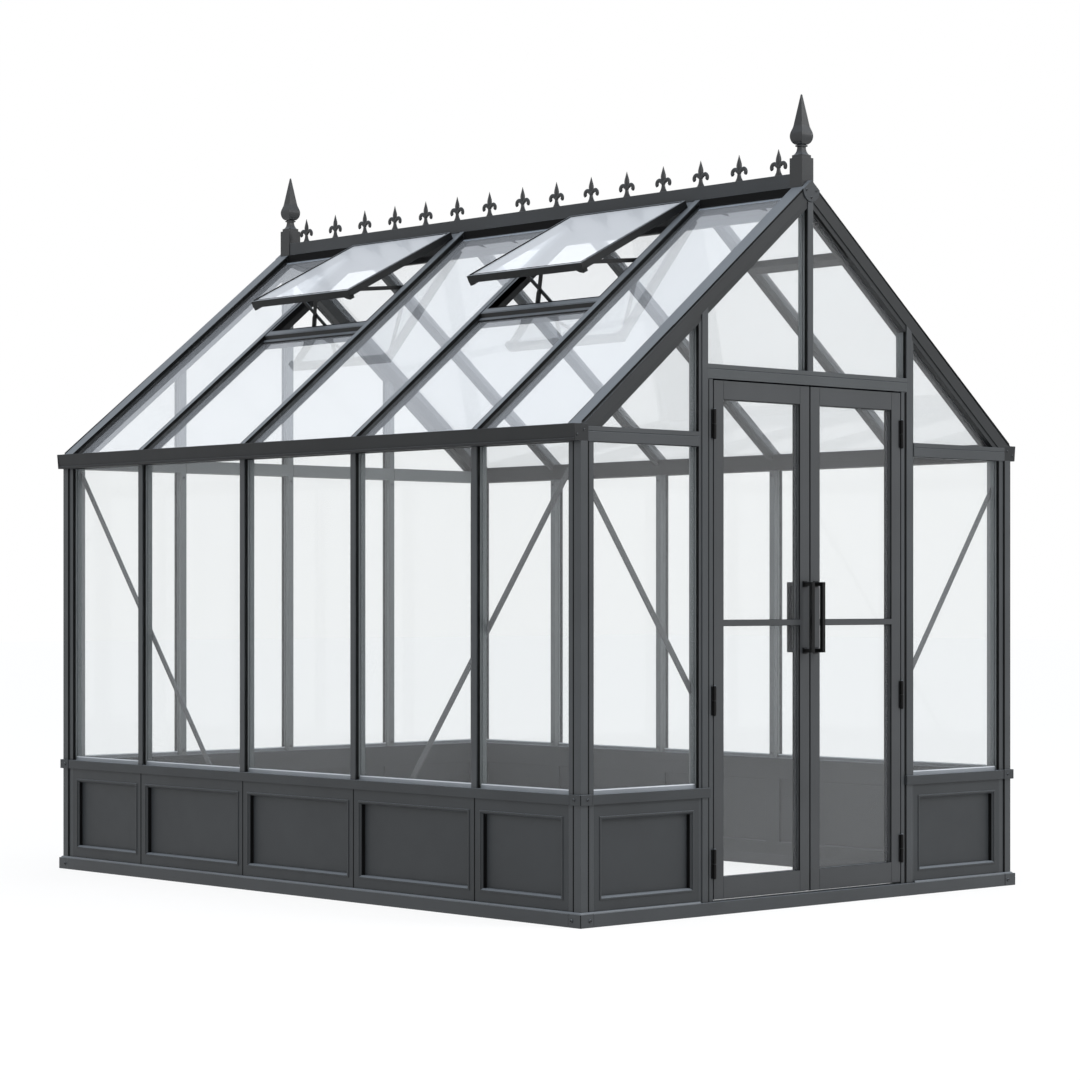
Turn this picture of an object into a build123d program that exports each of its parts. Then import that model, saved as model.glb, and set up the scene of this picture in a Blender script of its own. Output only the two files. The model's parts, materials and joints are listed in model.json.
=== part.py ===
from build123d import *
import math
import os

# Free-standing Victorian greenhouse: a glazed aluminium frame on a panelled knee wall, with a
# pitched roof, two opened roof vents, ridge cresting and a pair of outward-opening doors.
#
# Millimetres. +X runs across the gables, +Y from the door gable to the rear gable, +Z is up.
# The origin is on the ground, in the middle of the plan. A "depth" is measured inwards from the
# outer plane of a wall's posts, or square into the roof from the plane of its bar caps.

# Overall form
width = 2440.0
length = 3300.0
eaves_height = 1810.0
ridge_height = 2795.0
end_bay = 580.0
bay_count = 5

# Glass and glazing bars
glass = 4.0
glass_depth = 27.0
rebate = 8.0
edge_gap = 0.3
bar_width = 29.0
bar_depth = 52.0
web_width = 8.0

# Base rail and knee wall
base_height = 48.0
base_overhang = 13.0
knee_back = 50.0
panel_stile = 36.0
panel_rail = 52.0
panel_sink = 20.0
panel_bevel = 6.0
panel_back_sink = 8.0
bead_width = 7.0
bead_height = 2.5
joint_width = 5.0
joint_depth = 12.0

# Sill rail on top of the knee wall
sill_top = 476.0
sill_thick = 36.0
sill_overhang = 8.0
sill_back = 56.0

# Corner and door posts
post = 68.0
post_face = 36.0
flange_recess = 4.0
door_post_depth = 56.0
door_post_face = 31.0
door_post_flange = 14.0
jamb_face = 29.0
sill_past_post = 6.0

# Eaves, gutter and rails
gutter_height = 62.0
gutter_top_reach = 33.0
gutter_foot_reach = 23.0
gutter_wall = 3.0
gutter_lip = 4.0
gutter_lip_height = 10.0
gutter_floor = 14.0
eaves_beam = 60.0
end_cap = 4.0
end_cap_reach = 38.0
rail_height = 54.0
rail_depth = 56.0
rail_groove = 2.0
transom_rise = 194.0

# Gable rafters, ridge and cresting
rafter_depth = 75.0
rafter_width = 70.0
rafter_flange = 20.0
ridge_half = 30.0
ridge_shoulder = 70.0
ridge_stem_half = 15.0
ridge_stem = 110.0
crest_height = 53.0
apex_plate = 5.0
apex_plate_radius = 46.0
apex_plate_drop = 38.0

# Finials
finial_post = 65.0
finial_post_rise = 89.0
finial_inset = 48.0
spire_height = 248.0
spire_half = 32.0
spire_bulb_height = 86.0
spire_shoulder_height = 126.0
spire_shoulder_half = 22.0
spire_neck_height = 43.0
spire_neck_half = 12.0
spire_ring = 9.0
spire_ring_half = 17.0
spire_foot_half = 26.0
spire_foot = 12.0
spire_tip_half = 2.4
fleur_count = 15
fleur_end_gap = 88.0
fleur_thick = 12.0
fleur_height = 109.0
fleur_foot_half = 22.0
fleur_stem_half = 6.0
fleur_band_height = 36.0
fleur_spear_half = 12.5
fleur_spear_foot = 50.0
fleur_petal_reach = 47.0
fleur_petal_drop = 24.0
fleur_petal_round = 7.0
fleur_steps = 4

# Roof vents in the left slope
vent_length = 643.0
vent_ridge_gap = 83.0
vent_angle = 12.0
kerb_rail = 30.0
kerb_side = 18.0
kerb_drop = 3.0
sash_gap = 8.0
sash_rail = 24.0
sash_rim = 8.0
sash_thick = 30.0
sash_glass_height = 23.0
opener_spread = 58.0
opener_plate = 5.0
opener_reach = 24.0
arm_width = 17.0
arm_thick = 5.0
arm_pin = 4.5
stay_rise = 335.0
stay_foot = 40.0
stay_height = 10.0

# Flat braces inside the walls and one purlin
brace_width = 24.0
brace_thick = 5.0
wall_brace_foot = 1010.0
wall_brace_drop = 33.0
gable_brace_drop = 128.0
gable_brace_rise = 366.0
purlin_drop = 353.0

# Doors
doorway = 1074.0
leaf_gap = 6.0
meeting_gap = 8.0
leaf_face = 4.0
leaf_thick = 40.0
leaf_foot_gap = 8.0
leaf_stile = 52.0
leaf_top_rail = 69.0
leaf_bottom_rail = 80.0
mid_bar = 21.0
mid_bar_height = 1090.0
handle_bar = 15.0
handle_reach = 46.0
handle_bottom = 974.0
handle_length = 271.0
handle_rose = 24.0
handle_rose_thick = 4.0
hinge_foot_rise = 134.0
hinge_middle = 800.0
hinge_head_drop = 163.0
hinge_length = 108.0
hinge_radius = 6.5
hinge_pin = 3.0
hinge_clearance = 0.06
hinge_axis_depth = -3.0
hinge_plate = 3.0
hinge_plate_gap = 1.5
hinge_plate_reach = 12.0

# Worked-out places
side = width / 2
front = -length / 2
pitch = (ridge_height - eaves_height) / side
slope = math.atan(pitch)
slope_length = math.hypot(side, ridge_height - eaves_height)
middle_bay = (length - 2 * end_bay) / (bay_count - 2)
bar_lines = [front + end_bay + middle_bay * step for step in range(bay_count - 1)]
quarter_lines = [-side / 2, 0.0, side / 2]
sill_bottom = sill_top - sill_thick
eaves_foot = eaves_height - gutter_height
rail_top = eaves_foot + rail_height
transom_bottom = eaves_height + transom_rise
transom_top = transom_bottom + rail_height
leaf_foot = base_height + leaf_foot_gap
leaf_head = transom_bottom - leaf_gap
hinge_heights = (leaf_foot + hinge_foot_rise, hinge_middle, leaf_head - hinge_head_drop)
glass_back = glass_depth + glass
door_half = doorway / 2
jamb_outer = door_half + jamb_face
post_outer = jamb_outer + door_post_face
flange_outer = post_outer + door_post_flange
crest_foot = ridge_height - ridge_half * pitch
crest_top = crest_foot + crest_height
finial_post_top = ridge_height + finial_post_rise
vent_head = slope_length - vent_ridge_gap
vent_foot = vent_head - vent_length
vent_bays = range(1, bay_count, 2)

# Each wall is drawn as seen from outside: X along it, Y inwards from its post plane.
front_wall = Pos(0, front, 0)
rear_wall = Pos(0, -front, 0) * Rot(0, 0, 180)
left_wall = Pos(-side, 0, 0) * Rot(0, 0, -90)
right_wall = Pos(side, 0, 0) * Rot(0, 0, 90)


def block(x0, x1, y0, y1, z0, z1):
    """Box between two corners."""
    return Pos((x0 + x1) / 2, (y0 + y1) / 2, (z0 + z1) / 2) * Box(x1 - x0, y1 - y0, z1 - z0)


def prism_y(outline, y0, y1):
    """Outline of (x, z) points drawn out along Y."""
    face = Plane.XZ * Polygon(*outline, align=None)
    return Pos(0, y0, 0) * extrude(face, y1 - y0, dir=(0, 1, 0))


def prism_z(outline, z0, z1):
    """Outline of (x, y) points drawn up from z0 to z1."""
    return Pos(0, 0, z0) * extrude(Polygon(*outline, align=None), z1 - z0, dir=(0, 0, 1))


def roof_z(x, depth):
    """Height at x of the plane that lies this depth under the roof's bar caps."""
    return eaves_height + (side - abs(x)) * pitch - depth / math.cos(slope)


def roof_x(z, depth):
    """Distance from the middle at which the plane of that depth has height z."""
    return side - (z - eaves_height + depth / math.cos(slope)) / pitch


def strip(x0, x1, depth0, depth1, y0, y1):
    """Straight piece of the left roof slope with plumb-cut ends."""
    ends = [(x0, depth0), (x1, depth0), (x1, depth1), (x0, depth1)]
    return prism_y([(x, roof_z(x, depth)) for x, depth in ends], y0, y1)


def other_side(shape):
    """The same piece on the other long side."""
    return mirror(shape, about=Plane.YZ)


def other_end(shape):
    """The same piece at the other gable."""
    return mirror(shape, about=Plane.XZ)


def fused(pieces):
    """One solid from pieces that meet or overlap."""
    first, *rest = pieces
    return first.fuse(*rest).clean()


def save(node, *shapes):
    solids = [solid for shape in shapes for solid in shape.solids()]
    export_step(Compound(solids), f"parts/{node}.step")


def base_pieces():
    """Base rails butted between four cast corner blocks."""
    size = base_overhang + knee_back
    corner = block(-side - base_overhang, -side + knee_back, front - base_overhang, front + knee_back,
                   0, base_height)
    corners = [corner, other_side(corner), other_end(corner), other_side(other_end(corner))]
    long_half = -front + base_overhang - size
    short_half = side + base_overhang - size
    rails = [
        left_wall * block(-long_half, long_half, -base_overhang, knee_back, 0, base_height),
        right_wall * block(-long_half, long_half, -base_overhang, knee_back, 0, base_height),
        front_wall * block(-short_half, short_half, -base_overhang, knee_back, 0, base_height),
        rear_wall * block(-short_half, short_half, -base_overhang, knee_back, 0, base_height),
    ]
    return rails, corners


def corner_post():
    """Front left post: a square corner bead, a shadow groove and a glazing flange each way."""
    groove_end = post_face + joint_width
    half = [(0, 0), (post_face, 0), (post_face, joint_depth), (groove_end, joint_depth),
            (groove_end, flange_recess), (post, flange_recess)]
    outline = half + [(post, post)] + [(y, x) for x, y in reversed(half[1:])]
    body = prism_z([(x - side, y + front) for x, y in outline], base_height, eaves_foot)
    slot = block(post - rebate, post, glass_depth, glass_back, sill_top, eaves_foot)
    body -= Pos(-side, front, 0) * slot
    return body - Pos(-side, front, 0) * mirror(slot, about=Plane((0, 0, 0), z_dir=(1, -1, 0)))


def knee_wall(start, end, joints):
    """Panelled wall between two posts, with a shadow groove at each panel joint."""
    wall = block(start, end, flange_recess, knee_back, base_height, sill_bottom)
    height = sill_bottom - base_height - 2 * panel_rail
    middle = (sill_bottom + base_height) / 2
    edges = [start, *joints, end]
    cuts = []
    beads = []
    for left, right in zip(edges, edges[1:]):
        panel = right - left - 2 * panel_stile
        face = Plane(((left + right) / 2, flange_recess, middle), x_dir=(1, 0, 0), z_dir=(0, 1, 0))
        back = Plane(((left + right) / 2, knee_back, middle), x_dir=(1, 0, 0), z_dir=(0, -1, 0))
        cuts.append(extrude(face * Rectangle(panel, height), panel_bevel, taper=45))
        sunk = Rectangle(panel - 2 * panel_bevel, height - 2 * panel_bevel)
        cuts.append(extrude(face * sunk, panel_sink))
        cuts.append(extrude(back * sunk, panel_back_sink))
        ring = Rectangle(panel + 2 * bead_width, height + 2 * bead_width) - Rectangle(panel, height)
        beads.append(extrude(face * ring, -bead_height))
    for joint in joints:
        cuts.append(block(joint - joint_width / 2, joint + joint_width / 2, flange_recess,
                          flange_recess + joint_depth, base_height, sill_bottom))
    return wall.cut(*cuts).fuse(*beads)


def glazing_bar(place, z0, z1):
    """I-shaped bar: a cap outside, a leg inside and a web between the panes."""
    half = bar_width / 2
    web = web_width / 2
    return fused([
        block(place - half, place + half, 0, glass_depth, z0, z1),
        block(place - web, place + web, glass_depth, glass_back, z0, z1),
        block(place - half, place + half, glass_back, bar_depth, z0, z1),
    ])


def pane(start, end, z0, z1):
    """Sheet of wall glass between two upright edges."""
    return block(start, end, glass_depth, glass_back, z0, z1)


def rail(start, end, z0):
    """Horizontal frame rail with a shadow line in its upper third."""
    body = block(start, end, 0, rail_depth, z0, z0 + rail_height)
    line = z0 + rail_height * 2 / 3
    return body - block(start, end, 0, rail_groove, line, line + rail_groove)


def door_post():
    """Left door post: the recessed jamb, the face strip and the glazing flange, in plan."""
    outline = [(-door_half, leaf_face), (-jamb_outer, leaf_face), (-jamb_outer, 0), (-post_outer, 0),
               (-post_outer, flange_recess), (-flange_outer, flange_recess),
               (-flange_outer, door_post_depth), (-door_half, door_post_depth)]
    body = prism_z([(x, y + front) for x, y in outline], base_height, ridge_height)
    above = block(-jamb_outer, -door_half, -rail_depth, rafter_width, transom_bottom, ridge_height)
    slot = block(-flange_outer, -flange_outer + rebate, glass_depth, glass_back, sill_top, ridge_height)
    return body - front_wall * above - front_wall * slot


def gutter():
    """Left eaves beam: a seat under the glass and a trough with a slanted face and a lip."""
    foot = -side - gutter_foot_reach
    top = -side - gutter_top_reach
    lean = (gutter_top_reach - gutter_foot_reach) / gutter_height
    lip_top = eaves_foot + gutter_lip_height
    floor = eaves_foot + gutter_floor
    outline = [
        (foot - gutter_lip, eaves_foot),
        (foot - gutter_lip - lean * gutter_lip_height, lip_top),
        (foot - lean * gutter_lip_height, lip_top),
        (top, eaves_height),
        (top + gutter_wall, eaves_height),
        (foot - lean * gutter_floor + gutter_wall, floor),
        (-side, floor),
        (-side, roof_z(-side, glass_back)),
        (-side + eaves_beam, roof_z(-side + eaves_beam, glass_back)),
        (-side + eaves_beam, eaves_foot),
    ]
    return prism_y(outline, front + end_cap, -front - end_cap)


def gutter_end():
    """Front left end cap of the gutter."""
    outline = [(-side - gutter_foot_reach - gutter_lip, eaves_foot), (-side - gutter_top_reach, eaves_height),
               (-side + end_cap_reach, eaves_height), (-side + end_cap_reach, eaves_foot)]
    return prism_y(outline, front, front + end_cap)


def gable_rafter():
    """Front left rafter: plumb-cut at the apex, level-cut on the gutter cap and the eaves rail."""
    cap_end = -side + end_cap_reach
    outline = [(-side, eaves_height), (0, ridge_height), (0, roof_z(0, rafter_depth)),
               (-roof_x(rail_top, rafter_depth), rail_top), (cap_end, rail_top), (cap_end, eaves_height)]
    body = prism_y(outline, front, front + rafter_width)
    recess = strip(-side, 0, rafter_depth - rafter_flange, rafter_depth, front, front + flange_recess)
    line = strip(-side, 0, flange_recess, flange_recess + joint_width, front, front + flange_recess)
    gable_slot = strip(-side, 0, rafter_depth - rebate, rafter_depth,
                       front + glass_depth, front + glass_back)
    roof_slot = strip(-side - rebate, 0, glass_depth, glass_back,
                      front + rafter_width - rebate, front + rafter_width)
    return body.cut(recess, line, gable_slot, roof_slot)


def roof_bar(line):
    """Bar of the left slope, from over the gutter to the side of the ridge."""
    half = bar_width / 2
    web = web_width / 2
    return fused([
        strip(-side, -ridge_half, 0, glass_depth, line - half, line + half),
        strip(-side, -ridge_half, glass_depth, glass_back, line - web, line + web),
        strip(-side + eaves_beam, -ridge_half, glass_back, bar_depth, line - half, line + half),
    ])


def roof_pane(start, end, head):
    """Glass of the left slope from the gutter up to x = head, between two edges along Y."""
    return strip(-side - rebate, head, glass_depth, glass_back, start, end)


def ridge_beam():
    """Ridge: a level top under the cresting, a slot each side for the glass, and a stem."""
    slot = ridge_half - rebate
    half = [
        (ridge_half, crest_foot), (ridge_half, roof_z(ridge_half, glass_depth)),
        (slot, roof_z(slot, glass_depth)), (slot, roof_z(slot, glass_back)),
        (ridge_half, roof_z(ridge_half, glass_back)), (ridge_half, crest_foot - ridge_shoulder),
        (ridge_stem_half, crest_foot - ridge_shoulder - ridge_stem_half),
        (ridge_stem_half, crest_foot - ridge_stem),
    ]
    outline = half + [(-x, z) for x, z in reversed(half)]
    return prism_y(outline, front + rafter_width, -front - rafter_width)


def spire():
    """Four-sided spire: one flank's profile drawn out, mitred to a quarter and repeated."""
    ring_top = spire_neck_height + spire_ring
    chamfer = spire_ring / 4
    neck_foot = (spire_foot_half, spire_foot)
    neck_top = (spire_neck_half, spire_neck_height)
    bulb_side = (spire_half, spire_bulb_height)
    shoulder = (spire_shoulder_half, spire_shoulder_height)
    point = (spire_tip_half, spire_height - spire_tip_half)
    foot = Polyline(point, (spire_tip_half / 4, spire_height), (0, spire_height), (0, 0),
                    (spire_foot_half, 0), neck_foot)
    neck = EllipticalCenterArc((spire_foot_half, spire_neck_height), spire_foot_half - spire_neck_half,
                               spire_neck_height - spire_foot, 180)
    ring = Polyline(neck_top, (spire_ring_half, spire_neck_height + chamfer),
                    (spire_ring_half, ring_top - chamfer), (spire_neck_half, ring_top))
    bulb = EllipticalCenterArc((spire_neck_half, spire_bulb_height), spire_half - spire_neck_half,
                               spire_bulb_height - ring_top, 270)
    rise = (spire_tip_half - spire_shoulder_half, point[1] - spire_shoulder_height)
    swell = Spline(bulb_side, shoulder, tangents=[(0, 1), rise])
    flank = make_face(Curve() + [foot, neck, ring, bulb, swell, Line(shoulder, point)])
    wedge = prism_z([(0, 0), (finial_post, -finial_post), (finial_post, finial_post)], 0, spire_height)
    quarter = extrude(Plane.XZ.offset(-finial_post) * flank, 2 * finial_post) & wedge
    return fused([Rot(0, 0, 90 * turn) * quarter for turn in range(4)])


def spire_finial():
    """Front finial: the spire on a square post that saddles the apex."""
    reach = finial_post / 2
    place = front + finial_inset
    post_body = block(-reach, reach, -reach, reach, ridge_height - reach * pitch, finial_post_top)
    return Pos(0, place, 0) * fused([post_body, Pos(0, 0, finial_post_top) * spire()])


def bend(start, pull, end):
    """Points of a curve from start towards end that leans to pull, its end left out."""
    steps = [step / fleur_steps for step in range(fleur_steps)]
    return [tuple((1 - t) ** 2 * a + 2 * t * (1 - t) * b + t ** 2 * c for a, b, c in zip(start, pull, end))
            for t in steps]


def fleur():
    """Fleur-de-lis standing on the cresting rail, flat side to the long walls.

    The outline goes up the foot, out and round the petal and up the spear. Each stretch leans to a
    point set out from the band, the petal's tip or the spear in curls, the petal tip's radius.
    """
    stem = fleur_stem_half
    band = fleur_band_height
    reach = fleur_petal_reach
    drop = fleur_petal_drop
    curl = fleur_petal_round
    spear = fleur_spear_half
    spear_foot = fleur_spear_foot
    belly = spear_foot + 5 * curl / 2
    outer = (reach, drop + 3 * curl / 2)
    tip = (reach - curl, drop)
    inner = (reach - 2 * curl, drop + 2 * curl)
    right = [
        *bend((fleur_foot_half, 0), (stem, band / 4), (stem, band)),
        *bend((stem, band), (reach / 2, band + curl), inner),
        *bend(inner, (reach - 2 * curl, drop), tip),
        *bend(tip, (reach, drop), outer),
        *bend(outer, (reach / 2, spear_foot + 2 * curl), (stem, band + 3 * curl / 2)),
        *bend((stem, spear_foot), (spear, spear_foot + curl / 3), (spear, belly)),
        *bend((spear, belly), (spear - curl / 4, belly + 2 * curl), (0, fleur_height)),
    ]
    left = [(-across, height) for across, height in reversed(right)]
    outline = Polygon(*right, (0, fleur_height), *left, align=None)
    return extrude(Plane.YZ.offset(-fleur_thick / 2) * outline, fleur_thick)


def vent_sides(bay):
    """Faces of the two bar caps beside a bay."""
    return bar_lines[bay - 1] + bar_width / 2, bar_lines[bay] - bar_width / 2


def along_slope(distance):
    """The x of a point that lies this far up the left slope from the eaves."""
    return -side + distance * math.cos(slope)


def vent_kerb(bay):
    """Frame of rails around a vent's opening, set between two roof bars."""
    start, end = vent_sides(bay)
    foot = along_slope(vent_foot)
    outer = strip(foot, -ridge_half, kerb_drop, bar_depth, start, end)
    hole = strip(along_slope(vent_foot + kerb_rail), along_slope(vent_head), 0, bar_depth + 1,
                 start + kerb_side, end - kerb_side)
    slot = strip(foot, foot + rebate, glass_depth, glass_back, start, end)
    return outer - hole - slot


def sash_place(bay):
    """Place of a vent's sash: hinged on the kerb's head and lifted at its foot."""
    start, end = vent_sides(bay)
    plane = Plane((-side, (start + end) / 2, eaves_height), x_dir=(math.cos(slope), 0, math.sin(slope)),
                  z_dir=(-math.sin(slope), 0, math.cos(slope)))
    return plane.location * Pos(vent_head, 0, -kerb_drop + edge_gap) * Rot(0, vent_angle, 0)


def sash_pieces(bay):
    """Sash frame with an open seat along its inner edge, and the glass that lies in the seat."""
    start, end = vent_sides(bay)
    half = (end - start) / 2 - sash_gap
    span = vent_head - vent_foot
    inner = half - sash_rail
    rim = half - sash_rim
    frame = block(-span, 0, -half, half, 0, sash_thick)
    frame -= block(-span + sash_rail, -sash_rail, -inner, inner, 0, sash_thick)
    frame -= block(-span + sash_rim, -sash_rim, -rim, rim, sash_glass_height, sash_thick)
    sheet = block(-span + sash_rim + edge_gap, -sash_rim - edge_gap, -rim + edge_gap, rim - edge_gap,
                  sash_glass_height, sash_glass_height + glass)
    place = sash_place(bay)
    return place * frame, place * sheet


def arm(start, end, thick):
    """Flat bar in the XY plane that runs half its width past the pivots at both ends."""
    span = math.dist(start, end)
    middle = ((start[0] + end[0]) / 2, (start[1] + end[1]) / 2)
    angle = math.degrees(math.atan2(end[1] - start[1], end[0] - start[0]))
    outline = chamfer(Rectangle(span + arm_width, arm_width).vertices(), arm_width / 4)
    return Pos(*middle) * Rot(0, 0, angle) * extrude(outline, thick)


def scissor_opener(bay):
    """Two crossed arms between the kerb's foot rail and the sash's foot rail."""
    start, end = vent_sides(bay)
    middle = (start + end) / 2
    kerb_x = along_slope(vent_foot + kerb_rail)
    kerb_z = roof_z(kerb_x, bar_depth / 2)
    span = vent_head - vent_foot
    plate_half = opener_spread + arm_width
    kerb_plate = block(kerb_x, kerb_x + opener_plate, middle - plate_half, middle + plate_half,
                       kerb_z - arm_width, kerb_z + arm_width)
    inner = -span + sash_rail
    sash_plate = sash_place(bay) * block(inner, inner + opener_plate, -plate_half, plate_half,
                                         0, sash_glass_height)
    low = Vector(kerb_x + opener_reach, middle, kerb_z)
    high = sash_place(bay) * Pos(inner + opener_reach, 0, sash_glass_height / 2)
    up = high.position - low
    plane = Plane(low, x_dir=(0, 1, 0), z_dir=Vector(0, 1, 0).cross(up))
    rise = up.length
    pieces = [kerb_plate, sash_plate]
    for hand, level in ((1, 0), (-1, -arm_thick)):
        flat = arm((-hand * opener_spread, 0), (hand * opener_spread, rise), arm_thick)
        pieces.append(plane.location * Pos(0, 0, level) * flat)
    pin = Pos(0, rise / 2, 0) * Cylinder(arm_pin, 4 * arm_thick)
    pieces.append(plane.location * pin)
    for hand in (-1, 1):
        kerb_lug = block(kerb_x, kerb_x + opener_reach + arm_pin, middle + hand * opener_spread - arm_pin,
                         middle + hand * opener_spread + arm_pin, kerb_z - arm_pin, kerb_z + arm_pin)
        sash_lug = sash_place(bay) * block(inner, inner + opener_reach + arm_pin,
                                           hand * opener_spread - arm_pin, hand * opener_spread + arm_pin,
                                           sash_glass_height / 2 - arm_pin, sash_glass_height / 2 + arm_pin)
        pieces += [kerb_lug, sash_lug]
    return fused(pieces)


def vent_stays(bay):
    """A flat stay each side, from the sash's foot corner to the kerb."""
    start, end = vent_sides(bay)
    middle = (start + end) / 2
    sash_face = (end - start) / 2 - sash_gap - sash_rail
    kerb_face = (end - start) / 2 - kerb_side
    span = vent_head - vent_foot
    high = (sash_place(bay) * Pos(-span + sash_rail + stay_foot, 0, stay_height)).position
    low_x = along_slope(vent_foot + stay_rise)
    low = (low_x, roof_z(low_x, bar_depth / 2))
    bar = Rot(90, 0, 0) * arm((high.X, high.Z), low, arm_thick)
    boss = Pos(low[0], 0, low[1]) * Rot(90, 0, 0) * Cylinder(arm_pin, kerb_face - sash_face + arm_thick,
                                                            align=(Align.CENTER, Align.CENTER, Align.MIN))
    stay = bar + boss
    near = Pos(0, middle - sash_face + arm_thick, 0) * stay
    return [near, Pos(0, 2 * middle, 0) * other_end(near)]


def wall_brace(corner):
    """Flat brace from the head of a corner post down to the sill, at the wall's start."""
    head = (corner + post, eaves_foot - wall_brace_drop)
    foot = (corner + wall_brace_foot, sill_top)
    span = math.dist(head, foot)
    across = brace_width / 2 * span / (head[1] - foot[1])
    down = brace_width / 2 * span / (foot[0] - head[0])
    outline = [(head[0], head[1] + down), (foot[0] + across, foot[1]), (foot[0] - across, foot[1]),
               (head[0], head[1] - down)]
    return prism_y(outline, bar_depth, bar_depth + brace_thick)


def gable_brace():
    """Flat brace across the left front panel, from the corner post down to the door post."""
    head = (-side + post, eaves_foot - gable_brace_drop)
    foot = (-flange_outer, sill_top + gable_brace_rise)
    half = brace_width / 2 * math.dist(head, foot) / (foot[0] - head[0])
    outline = [(head[0], head[1] + half), (foot[0], foot[1] + half), (foot[0], foot[1] - half),
               (head[0], head[1] - half)]
    return front_wall * prism_y(outline, bar_depth - brace_thick, bar_depth)


def leaf_pieces():
    """Left door leaf: a frame with one glazing bar, and its two panes."""
    outer = -door_half + leaf_gap
    inner = -meeting_gap / 2
    back = leaf_face + leaf_thick
    frame = block(outer, inner, leaf_face, back, leaf_foot, leaf_head)
    bar_foot = mid_bar_height - mid_bar / 2
    spans = [(leaf_foot + leaf_bottom_rail, bar_foot), (bar_foot + mid_bar, leaf_head - leaf_top_rail)]
    sheets = []
    for z0, z1 in spans:
        frame -= block(outer + leaf_stile, inner - leaf_stile, leaf_face, back, z0, z1)
        sheet_face = leaf_face + (leaf_thick - glass) / 2
        sheets.append(block(outer + leaf_stile - rebate, inner - leaf_stile + rebate, sheet_face,
                            sheet_face + glass, z0 - rebate, z1 + rebate))
    return front_wall * frame.cut(*sheets), [front_wall * sheet for sheet in sheets]


def handle():
    """Square pull on the outer face of the left leaf: a bar, two arms and their roses."""
    place = -meeting_gap / 2 - leaf_stile / 2
    half = handle_bar / 2
    tip = leaf_face - handle_reach
    top = handle_bottom + handle_length
    pieces = [block(place - half, place + half, tip, tip + handle_bar, handle_bottom, top)]
    for z in (handle_bottom, top - handle_bar):
        pieces.append(block(place - half, place + half, tip, leaf_face, z, z + handle_bar))
        rose = handle_rose / 2
        middle = z + half
        pieces.append(block(place - rose, place + rose, leaf_face - handle_rose_thick, leaf_face,
                            middle - rose, middle + rose))
    return fused(pieces)


def inner_handle():
    """The same pull on the leaf's inner face."""
    middle = leaf_face + leaf_thick / 2
    return mirror(handle(), about=Plane((0, middle, 0), z_dir=(0, 1, 0)))


def hinge(height, upper):
    """Half of a lift-off hinge: the jamb's half with its pin, or the leaf's upper half."""
    axis = -door_half + leaf_gap / 2
    hand = 1 if upper else -1
    low = height - hinge_length / 2
    middle = height + edge_gap if upper else height - edge_gap
    barrel_low, barrel_high = (middle, low + hinge_length) if upper else (low, middle)
    barrel_length = barrel_high - barrel_low
    at_axis = Pos(axis, hinge_axis_depth, barrel_low)
    base = (Align.CENTER, Align.CENTER, Align.MIN)
    plate_start = hinge_radius + hinge_plate_gap
    ends = sorted((axis + hand * plate_start, axis + hand * hinge_plate_reach))
    tongue = sorted((axis, axis + hand * plate_start))
    face = leaf_face - hinge_plate
    pieces = [
        at_axis * Cylinder(hinge_radius, barrel_length, align=base),
        block(*ends, face, leaf_face, low, low + hinge_length),
        block(*tongue, face, leaf_face, barrel_low, barrel_high),
    ]
    body = fused(pieces)
    if upper:
        return body - at_axis * Cylinder(hinge_pin + hinge_clearance, barrel_length, align=base)
    return body + at_axis * Cylinder(hinge_pin, hinge_length - edge_gap, align=base)


os.makedirs("parts", exist_ok=True)

# Base, knee walls and sill
base_rails, base_corners = base_pieces()
save("base_frame", *base_rails, *base_corners)

post_front_left = corner_post()
corner_posts = [post_front_left, other_side(post_front_left)]
corner_posts += [other_end(piece) for piece in corner_posts]
save("corner_posts", *corner_posts)

long_half = -front - post
wall_joints = [-line for line in reversed(bar_lines)]
save("knee_wall_left", left_wall * knee_wall(-long_half, long_half, wall_joints))
save("knee_wall_right", right_wall * knee_wall(-long_half, long_half, wall_joints))
save("knee_wall_rear", rear_wall * knee_wall(-side + post, side - post, quarter_lines))
knee_front_left = front_wall * knee_wall(-side + post, -flange_outer, [])
save("knee_wall_front", knee_front_left, other_side(knee_front_left))

rafters_front = [gable_rafter(), other_side(gable_rafter())]
rafters_rear = [other_end(piece) for piece in rafters_front]
save("gable_rafters", *rafters_front, *rafters_rear)

post_left = door_post().cut(rafters_front[0])
post_left = post_left.solids().sort_by(Axis.Z)[0]
door_posts = [post_left, other_side(post_left)]
save("door_posts", *door_posts)

reach = -front + sill_overhang
sill_left = left_wall * block(-reach, reach, -sill_overhang, sill_back, sill_bottom, sill_top)
sill_rear = rear_wall * block(-side + sill_back, side - sill_back, -sill_overhang, sill_back,
                              sill_bottom, sill_top)
sill_front = front_wall * block(-side + sill_back, -jamb_outer + sill_past_post, -sill_overhang,
                                sill_back, sill_bottom, sill_top)
sills = [sill_left.cut(*corner_posts), sill_rear.cut(*corner_posts),
         sill_front.cut(*corner_posts, *door_posts).solids().sort_by(SortBy.VOLUME)[-1]]
save("sill_rails", *sills, other_side(sills[0]), other_side(sills[2]))

# Glazing bars, posts and rails of the walls
wall_bars = [glazing_bar(line, sill_top, eaves_foot) for line in bar_lines]
save("side_wall_bars", *[wall * bar for wall in (left_wall, right_wall) for bar in wall_bars])
rear_bars = [rear_wall * glazing_bar(line, sill_top, ridge_height) for line in quarter_lines]
rear_bars = [bar.cut(*rafters_rear).solids().sort_by(Axis.Z)[0] for bar in rear_bars]
save("rear_wall_bars", *rear_bars)

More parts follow.
